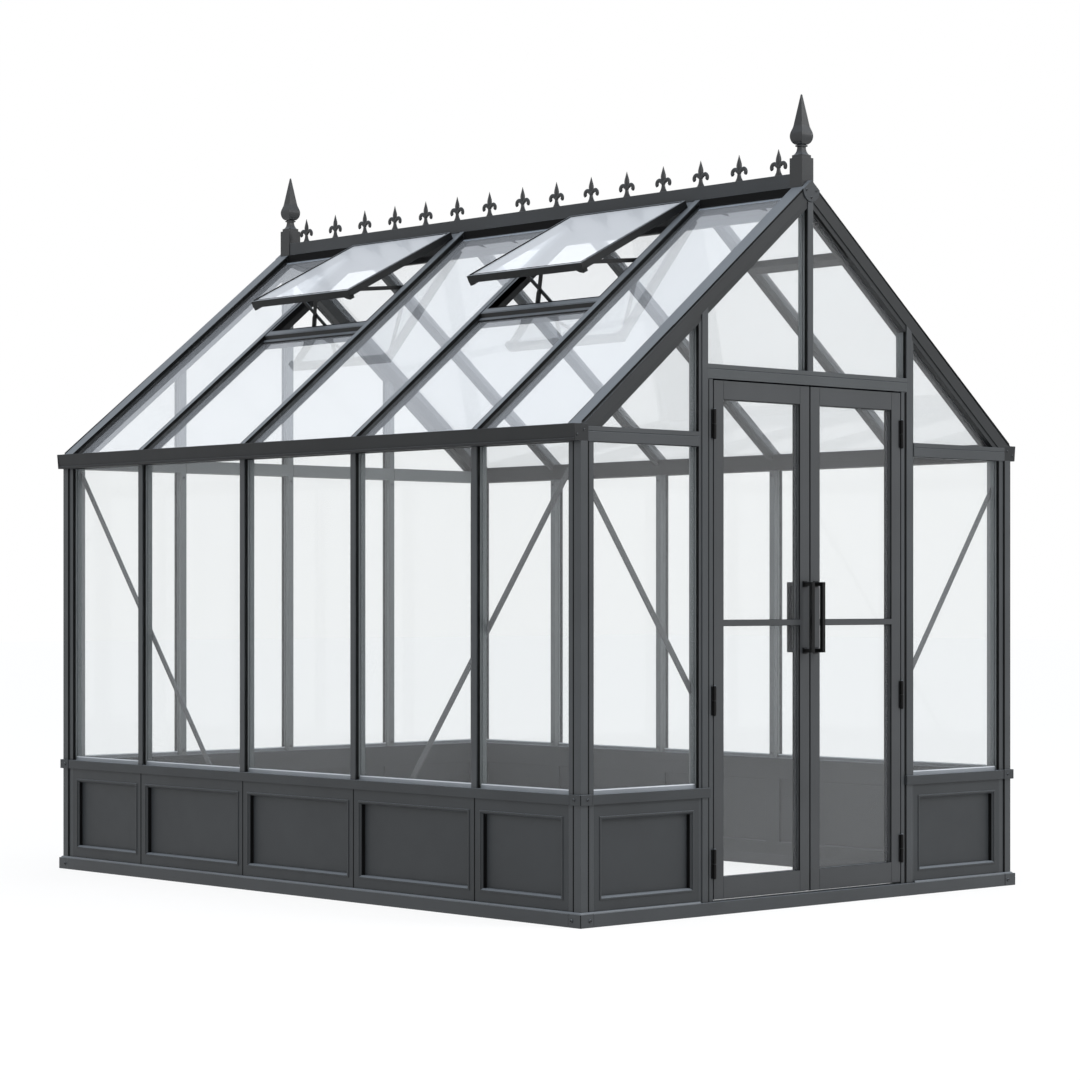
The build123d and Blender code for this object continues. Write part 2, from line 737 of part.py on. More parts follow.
half_bar = bar_width / 2
eaves_rail = front_wall * rail(-side + end_cap_reach, -flange_outer, eaves_foot)
rail_ends = [-side + end_cap_reach, *quarter_lines, side - end_cap_reach]
rear_rails = []
for start, end in zip(rail_ends, rail_ends[1:]):
    first = start + half_bar if start > -side / 2 - 1 else start
    last = end - half_bar if end < side / 2 + 1 else end
    rear_rails.append(rear_wall * rail(first, last, eaves_foot))
front_rails = [eaves_rail, other_side(eaves_rail)]
save("eaves_rails", *front_rails, *rear_rails)
save("transom", front_wall * rail(-jamb_outer, jamb_outer, transom_bottom))
centre_bar = front_wall * glazing_bar(0, transom_top, ridge_height)
save("gable_mullion", centre_bar.cut(*rafters_front).solids().sort_by(Axis.Z)[0])

# Eaves and roof
gutter_left = gutter().cut(*rafters_front, *rafters_rear, *front_rails, *rear_rails)
gutters = [gutter_left, gutter_end(), other_end(gutter_end())]
save("gutters", *gutters, *[other_side(piece) for piece in gutters])

roof_bars = [roof_bar(line) for line in bar_lines]
save("roof_bars", *roof_bars, *[other_side(bar) for bar in roof_bars])
ridge = ridge_beam()
save("ridge_beam", ridge)

plate_disc = Pos(0, ridge_height - apex_plate_drop) * Circle(apex_plate_radius)
plate_top = Polygon((0, ridge_height), (-apex_plate_radius, roof_z(apex_plate_radius, 0)),
                    (-apex_plate_radius, ridge_height - apex_plate_drop),
                    (apex_plate_radius, ridge_height - apex_plate_drop),
                    (apex_plate_radius, roof_z(apex_plate_radius, 0)), align=None)
roof_cut = Polygon((0, ridge_height), (-side, eaves_height), (side, eaves_height), align=None)
plate_face = Plane.XZ * ((plate_disc + plate_top) & roof_cut)
apex_front = Pos(0, front, 0) * extrude(plate_face, apex_plate, dir=(0, -1, 0))
save("apex_plates", apex_front, other_end(apex_front))

# Cresting
crest_half = -front - finial_inset - finial_post / 2
save("cresting_rail", block(-ridge_half, ridge_half, -crest_half, crest_half, crest_foot, crest_top))
fleur_step = 2 * (crest_half - fleur_end_gap) / (fleur_count - 1)
one_fleur = fleur()
save("fleur_finials", *[Pos(0, -crest_half + fleur_end_gap + fleur_step * index, crest_top) * one_fleur
                        for index in range(fleur_count)])
finial = spire_finial().cut(*rafters_front, ridge)
save("spire_finials", finial, other_end(finial))

# Glass
web_edge = web_width / 2 + edge_gap
bar_edges = [front + post - rebate + edge_gap]
for line in bar_lines:
    bar_edges += [line - web_edge, line + web_edge]
bar_edges.append(-bar_edges[0])
long_panes = [pane(start, end, sill_top, eaves_foot) for start, end in zip(bar_edges[::2], bar_edges[1::2])]
save("left_wall_glass", *[left_wall * sheet for sheet in long_panes])
save("right_wall_glass", *[right_wall * sheet for sheet in long_panes])

rear_edges = [-side + post - rebate + edge_gap]
for line in quarter_lines:
    rear_edges += [line - web_edge, line + web_edge]
rear_edges.append(-rear_edges[0])
rear_panes = [rear_wall * pane(start, end, sill_top, eaves_foot)
              for start, end in zip(rear_edges[::2], rear_edges[1::2])]
gable_depth = rafter_depth - rebate + edge_gap


def gable_pane(start, end, z0):
    """Front gable glass above a rail, cut to the slope under the left rafter."""
    low = -roof_x(z0, gable_depth)
    first = max(start, low)
    outline = [(first, z0), (first, max(z0, roof_z(first, gable_depth))),
               (end, roof_z(end, gable_depth)), (end, z0)]
    if first == low:
        outline.pop(0)
    return front_wall * prism_y(outline, glass_depth, glass_back)


rear_upper = []
for start, end in zip(rear_edges[:4:2], rear_edges[1:4:2]):
    sheet = other_end(gable_pane(start, end, rail_top))
    rear_upper += [sheet, other_side(sheet)]
save("rear_wall_glass", *rear_panes)

side_light = front_wall * pane(-side + post - rebate + edge_gap, -flange_outer + rebate - edge_gap,
                               sill_top, eaves_foot)
save("front_wall_glass", side_light, other_side(side_light))
front_upper = [gable_pane(-side, -flange_outer + rebate - edge_gap, rail_top),
               gable_pane(-jamb_outer, -web_edge, transom_top)]
front_upper += [other_side(sheet) for sheet in front_upper]
save("gable_glass", *front_upper, *rear_upper)

roof_edges = [front + rafter_width - rebate + edge_gap, *bar_edges[1:-1]]
roof_edges.append(-roof_edges[0])
glass_head = -ridge_half + rebate - edge_gap
vent_glass_head = along_slope(vent_foot) + rebate - edge_gap
roof_spans = list(zip(roof_edges[::2], roof_edges[1::2]))
roof_left = [roof_pane(start, end, vent_glass_head if bay in vent_bays else glass_head)
             for bay, (start, end) in enumerate(roof_spans)]
save("roof_glass_left", *roof_left)
save("roof_glass_right", *[other_side(roof_pane(start, end, glass_head)) for start, end in roof_spans])

# Vents
save("vent_kerbs", *[vent_kerb(bay) for bay in vent_bays])
sashes = [sash_pieces(bay) for bay in vent_bays]
save("vent_sashes", *[frame for frame, sheet in sashes])
save("vent_glass", *[sheet for frame, sheet in sashes])
save("scissor_openers", *[scissor_opener(bay) for bay in vent_bays])
save("vent_stays", *[stay for bay in vent_bays for stay in vent_stays(bay)])

# Braces and purlin
brace = wall_brace(front)
braces = [brace, mirror(brace, about=Plane.YZ)]
save("wall_braces", *[left_wall * piece for piece in braces], gable_brace(), other_side(gable_brace()))
purlin_x = along_slope(slope_length - purlin_drop)
purlin = strip(purlin_x - half_bar, purlin_x + half_bar, glass_back, bar_depth,
               front + rafter_width, bar_lines[0] - half_bar)
save("purlin", other_side(purlin))

# Doors
leaf_frame, leaf_panes = leaf_pieces()
pulls = [front_wall * handle(), front_wall * inner_handle()]
leaf_hinges = [front_wall * hinge(height, True) for height in hinge_heights]
jamb_hinges = [front_wall * hinge(height, False) for height in hinge_heights]
save("left_door_frame", leaf_frame)
save("left_door_glass", *leaf_panes)
save("left_door_handles", *pulls)
save("left_door_hinges", *leaf_hinges)
save("right_door_frame", other_side(leaf_frame))
save("right_door_glass", *[other_side(sheet) for sheet in leaf_panes])
save("right_door_handles", *[other_side(pull) for pull in pulls])
save("right_door_hinges", *[other_side(half) for half in leaf_hinges])
save("jamb_hinges", *jamb_hinges, *[other_side(half) for half in jamb_hinges])
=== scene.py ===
import bmesh
import bpy
import json
import numpy as np
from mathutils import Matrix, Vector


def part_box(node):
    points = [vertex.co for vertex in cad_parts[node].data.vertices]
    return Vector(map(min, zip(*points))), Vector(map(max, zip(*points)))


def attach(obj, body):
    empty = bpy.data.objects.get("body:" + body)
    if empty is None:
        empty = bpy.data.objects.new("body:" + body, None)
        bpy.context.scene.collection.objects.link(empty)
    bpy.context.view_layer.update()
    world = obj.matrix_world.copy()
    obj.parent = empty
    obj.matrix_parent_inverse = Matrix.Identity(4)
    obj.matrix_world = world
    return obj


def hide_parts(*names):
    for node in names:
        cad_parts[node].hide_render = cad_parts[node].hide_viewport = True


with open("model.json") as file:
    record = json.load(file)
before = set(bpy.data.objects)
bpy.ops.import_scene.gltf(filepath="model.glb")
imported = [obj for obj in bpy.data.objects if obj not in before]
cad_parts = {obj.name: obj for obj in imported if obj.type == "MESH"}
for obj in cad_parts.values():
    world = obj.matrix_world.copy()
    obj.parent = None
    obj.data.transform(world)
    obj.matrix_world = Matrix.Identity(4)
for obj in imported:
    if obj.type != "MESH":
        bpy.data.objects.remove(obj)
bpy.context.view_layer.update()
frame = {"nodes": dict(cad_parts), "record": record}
nodes = frame["nodes"]


# --- Base frame ----------------------------------------
# Extruded rails between four cast corner blocks, powder coated in satin anthracite. The front
# blocks wear a thin pressed cap with sealed joints, a socket screw holds each face, and a
# quarter-round bead, painted pale as a highlight, lies on the ledge along the foot of the walls.

def new_material(name):
    """A material with its node tree and its one plain surface."""
    material = bpy.data.materials.new(name)
    material.use_nodes = True
    return material, material.node_tree, material.node_tree.nodes["Principled BSDF"]


def feed(node, inputs):
    """Sets each input of a node to its value, or links it to the output given."""
    for name, value in inputs.items():
        if isinstance(value, bpy.types.NodeSocket):
            node.id_data.links.new(value, node.inputs[name])
        else:
            node.inputs[name].default_value = value


def shader(tree, kind, output, inputs):
    """Output of a new node of this kind, fed with its inputs."""
    node = tree.nodes.new(kind)
    feed(node, inputs)
    return node.outputs[output]


def noise(tree, scale, detail):
    """Noise over the object's own coordinates, from 0 to 1."""
    place = shader(tree, "ShaderNodeTexCoord", "Object", {})
    return shader(tree, "ShaderNodeTexNoise", "Fac",
                  {"Vector": place, "Scale": scale, "Detail": detail})


def ranged(tree, value, low, high, start=0.0, end=1.0):
    """Number that goes evenly from low to high while the value goes from start to end."""
    return shader(tree, "ShaderNodeMapRange", "Result",
                  {"Value": value, "From Min": start, "From Max": end,
                   "To Min": low, "To Max": high})


def ramp(tree, value, low, high, start=0.0, end=1.0):
    """Colour that goes evenly from low to high while the value goes from start to end."""
    node = tree.nodes.new("ShaderNodeValToRGB")
    for element, position, colour in zip(node.color_ramp.elements, (start, end), (low, high)):
        element.position = position
        element.color = (*colour, 1)
    tree.links.new(value, node.inputs["Fac"])
    return node.outputs["Color"]


def two_colours(tree, share, first, second):
    """The first colour with this share of the second one."""
    node = tree.nodes.new("ShaderNodeMix")
    node.data_type = "RGBA"
    feed(node, {0: share, 6: first, 7: second})
    return node.outputs[2]


# Pale colour painted on faces that look up: a painted sheen of sky light, not dust.
painted_sheen_colour = (0.135, 0.150, 0.165, 1)


def powder_coat(name, colour, roughness=0.42, gloss=0.35, grain=0.12, arris=0.0022, painted_sheen=0.9):
    """Satin powder coat: a fine orange-peel bump, cloudy in its gloss, its edges softly rounded.

    The tone drifts by a tenth either way in slow patches, and whatever looks up is painted paler,
    up to the share given: a painted sheen of sky light, with painted highlight lines along arrises
    that turn up, as it follows the rounded edge normal.
    """
    material, tree, coat = new_material(name)
    darker, lighter = [0.9 * part for part in colour], [1.1 * part + 0.001 for part in colour]
    patches, clouds = noise(tree, scale=3.0, detail=5.0), noise(tree, scale=14.0, detail=3.0)
    tone = ramp(tree, patches, darker, lighter, start=0.3, end=0.7)
    peel = {"Strength": grain, "Distance": 0.0002, "Height": noise(tree, scale=700.0, detail=1.0)}
    face = shader(tree, "ShaderNodeNewGeometry", "Normal", {})
    if arris:
        edge = tree.nodes.new("ShaderNodeBevel")
        edge.samples = 4
        edge.inputs["Radius"].default_value = arris
        face = peel["Normal"] = edge.outputs["Normal"]
    level = shader(tree, "ShaderNodeSeparateXYZ", "Z", {"Vector": face})
    # Painted sheen and highlight: faces and rounded arrises that look up are painted paler.
    sheen_share = ranged(tree, level, 0.0, painted_sheen, start=0.15, end=0.75)
    feed(coat, {"Base Color": two_colours(tree, sheen_share, tone, painted_sheen_colour),
                "Roughness": ranged(tree, clouds, roughness - 0.06, roughness + 0.06),
                "Specular IOR Level": gloss,
                "Normal": shader(tree, "ShaderNodeBump", "Normal", peel)})
    return material


def finish(material, *names):
    """Gives nodes of the frame their material."""
    for name in names:
        nodes[name].data.materials.clear()
        nodes[name].data.materials.append(material)


def box_of(name):
    """Low and high corner of a node's box."""
    return [np.array(corner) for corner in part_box(name)]


def ringed(points, closed=False):
    """Shell over a grid of rings: each ring runs round on itself and is joined to the next.

    Where the rings don't close on the first one, a face closes each end.
    """
    count, around = points.shape[:2]
    index = np.arange(count * around).reshape(count, around)
    rows = np.vstack([index, index[:1]]) if closed else index
    here, there = rows[:-1], rows[1:]
    quads = np.stack([here, there, np.roll(there, -1, 1), np.roll(here, -1, 1)], axis=-1)
    faces = quads.reshape(-1, 4).tolist()
    if not closed:
        faces += [index[0, ::-1].tolist(), index[-1].tolist()]
    return points.reshape(-1, 3), faces


def carried(outline, path, out, closed=False):
    """Shell of an outline carried along a path on a flat face that looks out.

    The outline's point (a, b) lies at path + a * side + b * out, where side is square to the run
    and to out. At a corner, side is the sum of both runs' sides over one plus their cosine, which
    is the mitre.
    """
    outline, path, out = (np.array(part, float) for part in (outline, path, out))
    run = np.roll(path, -1, axis=0) - path
    if not closed:
        run[-1] = run[-2]
    run /= np.linalg.norm(run, axis=1)[:, None]
    before = np.roll(run, 1, axis=0)
    if not closed:
        before[0] = run[0]
    side, side_before = np.cross(run, out), np.cross(before, out)
    side /= np.linalg.norm(side, axis=1)[:, None]
    side_before /= np.linalg.norm(side_before, axis=1)[:, None]
    mitre = (side + side_before) / (1 + (side * side_before).sum(1))[:, None]
    across, proud = outline[None, :, :1], outline[None, :, 1:]
    return ringed(path[:, None] + across * mitre[:, None] + proud * out, closed)


def mirrored(shells, axis):
    """Copies of the shells across the middle of an axis: 0 is X and 1 is Y."""
    flip = np.ones(3)
    flip[axis] = -1
    return [(points * flip, faces) for points, faces in shells]


def both_hands(shells):
    """The shells of the left side, and their copies on the right."""
    return shells + mirrored(shells, 0)


def four_corners(shells):
    """The shells of the left front corner, and their copies at the other three."""
    return both_hands(shells) + mirrored(both_hands(shells), 1)


def upright(x, y, foot, head):
    """Path straight up or down from foot to head."""
    return [(x, y, foot), (x, y, head)]


def add_piece(name, shells, material, body="root", smooth=None):
    """Joins closed shells into one piece with its faces outwards, and fixes it to a body.

    Edges flatter than the smooth angle, in degrees, are shaded as curved.
    """
    points = np.vstack([part for part, _ in shells])
    starts = np.cumsum([0] + [len(part) for part, _ in shells])
    faces = [[corner + start for corner in face]
             for start, (_, part) in zip(starts, shells) for face in part]
    mesh = bpy.data.meshes.new(name)
    mesh.from_pydata(points.tolist(), [], faces)
    shape = bmesh.new()
    shape.from_mesh(mesh)
    bmesh.ops.recalc_face_normals(shape, faces=shape.faces)
    shape.to_mesh(mesh)
    shape.free()
    if smooth:
        mesh.shade_smooth()
        mesh.set_sharp_from_angle(angle=np.radians(smooth))
    mesh.materials.append(material)
    piece = bpy.data.objects.new(name, mesh)
    bpy.context.scene.collection.objects.link(piece)
    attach(piece, body)
    return piece


def turned(place, axis, along, reach):
    """Shell turned about an axis: at each distance along it, a ring of that reach from it.

    A row of reaches holds one for each ring, or one for each point of each ring.
    """
    axis = np.array(axis, float) / np.linalg.norm(axis)
    turn = np.arange(reach.shape[1] if reach.ndim == 2 else 12)
    turn = turn * 2 * np.pi / len(turn)
    first = np.cross(axis, (0.0, 0.6, 0.8) if abs(axis[1]) < 0.9 else (1.0, 0.0, 0.0))
    first /= np.linalg.norm(first)
    circle = np.cos(turn)[:, None] * first + np.sin(turn)[:, None] * np.cross(axis, first)
    rings = reach.reshape(len(along), -1)[:, :, None] * circle
    return ringed(np.array(place) + rings + np.array(along)[:, None, None] * axis)


def screw_head(place, out, radius):
    """Socket screw: a round rim and dome, and a six-sided socket.

    A six-sided ring's reach at an angle is its radius times cos 30 over the cosine of the angle
    to the middle of the nearest side.
    """
    reach = radius * np.array([1.0, 1.0, 0.84, 0.5, 0.45])
    rise = radius * np.array([-0.1, 0.34, 0.55, 0.55, 0.2])
    six_sided = np.array([0, 0, 0, 1, 1])[:, None]
    turn = np.arange(12) * np.pi / 6
    flats = np.cos(np.pi / 6) / np.cos(turn % (np.pi / 3) - np.pi / 6)
    return turned(place, out, rise, reach[:, None] * (1 + six_sided * (flats - 1)))


def round_corner(low, reach):
    """Path on the floor round the left front corner of a box, this far along either face."""
    return [(low[0], low[1] + reach, 0), (low[0], low[1], 0), (low[0] + reach, low[1], 0)]


def corner_screws(low, thick, back, level, radius):
    """Screws through both faces of a corner plate, set this far back from its arris."""
    return [screw_head((low[0] + back, low[1] - thick, level), (0, -1, 0), radius),
            screw_head((low[0] - thick, low[1] + back, level), (-1, 0, 0), radius)]


up = np.array([0.0, 0.0, 1.0])
hair = 0.0001
floor_gap = 0.001
anthracite = powder_coat("anthracite_coat", (0.0325, 0.0358, 0.0384))
finish(anthracite, "base_frame")

base_low, base_high = box_of("base_frame")
base_rim = base_high[2]
block_reach = 0.063
cap_thick = 0.0012
cap_lap = 0.008
cap_outline = [(-cap_lap, base_rim), (-cap_lap, base_rim + cap_thick),
               (cap_thick, base_rim + cap_thick), (cap_thick, floor_gap), (0, floor_gap),
               (0, base_rim)]
base_cap = carried(cap_outline, round_corner(base_low, block_reach), up)
add_piece("base_corner_caps", both_hands([base_cap]), anthracite)

steel = powder_coat("screw_steel", (0.016, 0.017, 0.018), 0.35, 0.4, grain=0.0, arris=0)
base_screw = 0.0068
screw_back = 0.046
rear_place = (base_low[0], base_high[1] - screw_back, base_rim / 2)
base_screws = [*corner_screws(base_low, cap_thick, screw_back, base_rim / 2, base_screw),
               screw_head(rear_place, (-1, 0, 0), base_screw)]
add_piece("base_screws", both_hands(base_screws), steel)

seam_black = powder_coat("seam_black", (0.004, 0.0042, 0.0044), 0.7, 0.1, arris=0, painted_sheen=0)
seam_half, arris_seam_half = 0.0015, 0.0018
seam_crown, seam_root = 0.0004, 0.001
seam_off = 0.0012


def seam(x, y, out, foot, head, half):
    """Sealed joint line up a flat face: a flat lozenge bedded in the metal, a hair proud."""
    outline = [(-half, hair), (0, seam_crown), (half, hair), (0, -seam_root)]
    return carried(outline, upright(x, y, foot, head), out)


def corner_seams(low, reach, thick, foot, head):
    """Joint lines of a corner plate: one at its arris and one just past each end of it."""
    slant = (-np.sqrt(0.5), -np.sqrt(0.5), 0)
    sunk, end = thick - seam_crown, reach + seam_off
    return [seam(low[0] - sunk, low[1] - sunk, slant, foot, head, arris_seam_half),
            seam(low[0] + end, low[1], (0, -1, 0), foot, head, seam_half),
            seam(low[0], low[1] + end, (-1, 0, 0), foot, head, seam_half)]


base_seams = corner_seams(base_low, block_reach, cap_thick, floor_gap, base_rim)
add_piece("base_cap_seams", both_hands(base_seams), seam_black)

# Pale colour painted on the ledge bead: a painted highlight where its rounded top catches the
# light.
ledge_painted_highlight = powder_coat("ledge_painted_highlight", (0.105, 0.114, 0.122), 0.4, 0.5, grain=0.0, arris=0)
wall_x, wall_y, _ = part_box("corner_posts")[0]
flange_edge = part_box("door_posts")[0][0]
ledge_reach = 0.007
ledge_turn = np.linspace(0, np.pi / 2, 6)
quarter_round = np.stack([-np.cos(ledge_turn), np.sin(ledge_turn)], axis=1)
ledge_outline = np.vstack([np.zeros(2), ledge_reach * quarter_round]) + (0, base_rim + hair)
ledge_path = [(flange_edge, wall_y, 0), (wall_x, wall_y, 0), (wall_x, -wall_y, 0),
              (0, -wall_y, 0)]
ledge_bead = carried(ledge_outline, ledge_path, up)
add_piece("base_ledge_bead", both_hands([ledge_bead]), ledge_painted_highlight, smooth=40)


# --- Knee walls and sill -------------------------------
# Twin-skin panels pressed with a sunk field, standing on the base frame, and the sill rail that
# caps them. Bent cover plates close the sill's corners, sealed at their edges, each with a screw
# in either face.

panel_coat = powder_coat("panel_coat", (0.0205, 0.0232, 0.0252), roughness=0.48, grain=0.02)
finish(panel_coat, "knee_wall_left", "knee_wall_right", "knee_wall_front", "knee_wall_rear",
       "sill_rails")

sill_low, sill_high = box_of("sill_rails")
sill_foot, sill_top = sill_low[2], sill_high[2]
cover_thick = 0.0013
cover_lip = 0.006
cover_reach = 0.058
cover_outline = [(-cover_lip, sill_top + cover_thick), (cover_thick, sill_top + cover_thick),
                 (cover_thick, sill_foot - cover_thick), (-cover_lip, sill_foot - cover_thick),
                 (-cover_lip, sill_foot), (0, sill_foot), (0, sill_top), (-cover_lip, sill_top)]
sill_cover = carried(cover_outline, round_corner(sill_low, cover_reach), up)
add_piece("sill_corner_covers", four_corners([sill_cover]), panel_coat)

bolt_radius = 0.006
cover_screw_back = 0.035
cover_screws = corner_screws(sill_low, cover_thick, cover_screw_back, (sill_foot + sill_top) / 2,
                             bolt_radius)
add_piece("sill_screws", four_corners(cover_screws), steel)
cover_seams = corner_seams(sill_low, cover_reach, cover_thick, sill_foot, sill_top)
add_piece("sill_cover_seams", four_corners(cover_seams), seam_black)


# --- Corner posts and door posts -----------------------
# Hollow extrusions with a square arris bead and a deep groove beside it, their inner faces painted
# paler as a painted veil of the glass's reflection. A black cord is pressed into each groove as
# painted shade, into the joints between the wall panels and beside the door posts, and black
# strips line the sides of each panel's field as painted shade.

def worked(tree, operation, first, second, clamped=False):
    """Result of a sum on two numbers or outputs, kept from 0 to 1 if clamped."""
    node = tree.nodes.new("ShaderNodeMath")
    node.operation = operation
    node.use_clamp = clamped
    feed(node, {0: first, 1: second})
    return node.outputs["Value"]


def painted_veil_inside(material):
    """Pales the coat from the inner depth on, behind the walls' outer faces: a painted veil that
    stands for the glass's reflection over the metal seen through it.

    The depth of a point is the lesser of half the width less |x| and half the length less |y|.
    """
    tree = material.node_tree
    coat = tree.nodes["Principled BSDF"]
    place = {"Vector": shader(tree, "ShaderNodeTexCoord", "Object", {})}
    depths = []
    for axis, half in (("X", half_width), ("Y", half_length)):
        along = shader(tree, "ShaderNodeSeparateXYZ", axis, place)
        depths.append(worked(tree, "SUBTRACT", half, worked(tree, "ABSOLUTE", along, 0.5)))
    inner = ranged(tree, worked(tree, "MINIMUM", *depths), 0.0, 1.0,
                   start=inner_depth - inner_edge, end=inner_depth + inner_edge)
    tone = coat.inputs["Base Color"].links[0].from_socket
    # Painted veil: the metal behind the outer faces is painted paler, standing for the glass's
    # reflection.
    feed(coat, {"Base Color": two_colours(tree, inner, tone, painted_veil_colour)})
    return material


post_low, post_high = box_of("corner_posts")
half_width, half_length, eaves_foot = post_high
base_top = post_low[2]
inner_depth, inner_edge = 0.018, 0.001
# Pale colour painted on the inside of posts and bars: a painted veil of the glass's reflection.
painted_veil_colour = (0.120, 0.130, 0.130, 1)
post_coat = painted_veil_inside(powder_coat("post_coat", (0.0335, 0.0368, 0.0392)))
finish(post_coat, "corner_posts", "door_posts")


def rubber(name, colour, roughness):
    """Extruded rubber: matt, with a fine rough skin and a faint bloom that pales it in patches."""
    material, tree, skin = new_material(name)
    bloom, bloomed = noise(tree, scale=9.0, detail=4.0), [1.7 * part for part in colour]
    fine = {"Strength": 0.2, "Distance": 0.0001, "Height": noise(tree, scale=900.0, detail=2.0)}
    feed(skin, {"Base Color": ramp(tree, bloom, colour, bloomed, start=0.35, end=0.75),
                "Roughness": ranged(tree, bloom, roughness - 0.08, roughness + 0.08),
                "Specular IOR Level": 0.1,
                "Normal": shader(tree, "ShaderNodeBump", "Normal", fine)})
    return material


cord_lip = 0.0008
cord_crown = 0.0006


def cord_in_groove(middle, width, sunk=0.0):
    """Outline of a cord in a groove: a crown of half a sine wave, with a lip over either edge."""
    across = np.linspace(-0.5, 0.5, 7)
    crown = np.stack([middle + (width + 2 * cord_lip) * across,
                      hair + cord_crown * np.cos(np.pi * across) - sunk], axis=1)
    back = -sunk - 0.8 * width
    near, far = middle - width / 2 + hair, middle + width / 2 - hair
    return [(near, back), (far, back), (far, hair - sunk), *crown[::-1].tolist(),
            (near, hair - sunk)]


gasket_black = rubber("gasket_rubber", (0.0028, 0.0029, 0.003), roughness=0.75)


def add_rubber(name, shells, body="root"):
    """Adds a piece of black rubber."""
    add_piece(name, shells, gasket_black, body)


arris_bead = 0.036
groove = 0.005
# Black cords fill the posts' deep grooves: painted shade in the groove.
groove_shade_cord = cord_in_groove(arris_bead + groove / 2, groove)
cords = []
for foot, head in ((base_top, sill_foot), (sill_top, eaves_foot)):
    cords += [carried(groove_shade_cord, upright(-half_width, -half_length, head, foot), (-1, 0, 0)),
              carried(groove_shade_cord, upright(-half_width, -half_length, foot, head), (0, -1, 0))]
add_rubber("post_groove_shade_cords", four_corners(cords))

bar_cap = 0.029
outer_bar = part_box("side_wall_bars")[1][1] - bar_cap / 2
bar_lines = outer_bar * np.array([-1, -1 / 3, 1 / 3, 1])
rear_lines = half_width * np.array([-0.5, 0, 0.5])
panel_face = 0.004
joint_cord = cord_in_groove(0, groove, panel_face)
joint_cords = [carried(joint_cord, upright(-half_width, line, sill_foot, base_top), (-1, 0, 0))
               for line in bar_lines]
rear_cords = [carried(joint_cord, upright(line, half_length, base_top, sill_foot), (0, 1, 0))
              for line in rear_lines]
jamb_outer, jamb_line, jamb_rise = 0.566, 0.0095, 1.56
jamb_outline = [(0, -0.0005), (jamb_line, -0.0005), (jamb_line, 0.0002), (0.5 * jamb_line, 0.0007),
                (0, 0.0005)]
jamb_cord = carried([(a, b - panel_face) for a, b in jamb_outline],
                    upright(-jamb_outer, -half_length, base_top, sill_foot + jamb_rise),
                    (0, -1, 0))
add_rubber("panel_joint_cords", both_hands(joint_cords + [jamb_cord]) + rear_cords)

post_wide = 0.068
stile_wide, rail_high, bevel_wide = 0.036, 0.052, 0.006
shade_strip_outline = [(0.0001, -0.0065), (-0.0006, -0.0068), (-0.0008, -0.0190), (-0.0030, -0.0199),
                (0.0001, -0.0199)]


def clear_spans(lines, reach, end_wide, line_wide):
    """Clear spans along a wall between its two ends and the lines of its bars, low to high."""
    edges = np.concatenate([[-reach + end_wide], np.repeat(lines, 2), [reach - end_wide]])
    edges[1:-1] += np.tile([-line_wide / 2, line_wide / 2], len(lines))
    return edges.reshape(-1, 2)


def round_walls(make, line_wide):
    """Shells that make gives for each clear span of the walls, all round the greenhouse.

    It is called with a wall's origin, the way to its right seen from outside, and the span.
    """
    left = [shell for span in clear_spans(bar_lines, half_length, post_wide, line_wide)
            for shell in make(np.array([-half_width, 0, 0]), np.array([0, -1, 0]), span)]
    front = make(np.array([0, -half_length, 0]), np.array([1, 0, 0]),
                 (-half_width + post_wide, flange_edge))
    rear = [shell for span in clear_spans(rear_lines, half_width, post_wide, line_wide)
            for shell in make(np.array([0, half_length, 0]), np.array([-1, 0, 0]), span)]
    return both_hands(left + front) + rear


def field_shade_strips(origin, right, span):
    """Black strips down both upright sides of a panel's sunk field, behind its bevel: painted shade
    in the recess.
    """
    inset = stile_wide + bevel_wide
    foot, head = base_top + rail_high + bevel_wide, sill_foot - rail_high - bevel_wide
    outline = [(a, b - panel_face) for a, b in shade_strip_outline]
    return [carried(outline, [origin + across * right + level * up for level in ends],
                    np.cross(right, up))
            for across, ends in ((span[1] - inset, (foot, head)), (span[0] + inset, (head, foot)))]


# Painted shade: black strips where the field's upright sides lie in shade.
add_rubber("panel_field_shade_strips", round_walls(field_shade_strips, groove))


# --- Wall bars and rails -------------------------------
# I-shaped bars with a cap outside and a leg inside, bolted through the leg at head and foot, and
# painted paler inside like the posts, a painted veil of the glass's reflection. A black gasket
# lines the side of every cap, post and rail down to the glass.

finish(post_coat, "side_wall_bars", "rear_wall_bars", "gable_mullion", "eaves_rails")
finish(powder_coat("transom_coat", (0.040, 0.044, 0.046)), "transom")

pane_depth = 0.027
gasket_outline = [(0, -0.0052), (-0.0014, -0.0058), (-0.0016, -0.0165), (-0.0005, -0.0185),
                  (0, -0.0185)]


def gasket(origin, right, rise, corners, closed=False):
    """Gasket round an opening; its corners run anticlockwise seen from outside.

    A corner (u, v) lies at origin + u * right + v * rise, and right crossed with rise looks out.
    """
    corners = np.array(corners, float)
    path = origin + corners[:, :1] * right + corners[:, 1:] * rise
    return carried(gasket_outline, path, np.cross(right, rise), closed)


def pane_gasket(origin, right, span):
    """Gasket up one side of a wall's pane, across its head and down the other side."""
    start, end = span
    corners = [(end, sill_top), (end, eaves_foot), (start, eaves_foot), (start, sill_top)]
    return [gasket(origin, right, up, corners)]


add_rubber("wall_gaskets", round_walls(pane_gasket, bar_cap))

bar_back = 0.052
bolt_rise = 0.022
levels = (sill_top + bolt_rise, eaves_foot - bolt_rise)
bar_bolts = [screw_head((-half_width + bar_back, line, level), (1, 0, 0), bolt_radius)
             for line in bar_lines for level in levels]
rear_bolts = [screw_head((line, half_length - bar_back, level), (0, -1, 0), bolt_radius)
              for line in rear_lines for level in levels]
add_piece("wall_bar_bolts", both_hands(bar_bolts) + rear_bolts, steel)


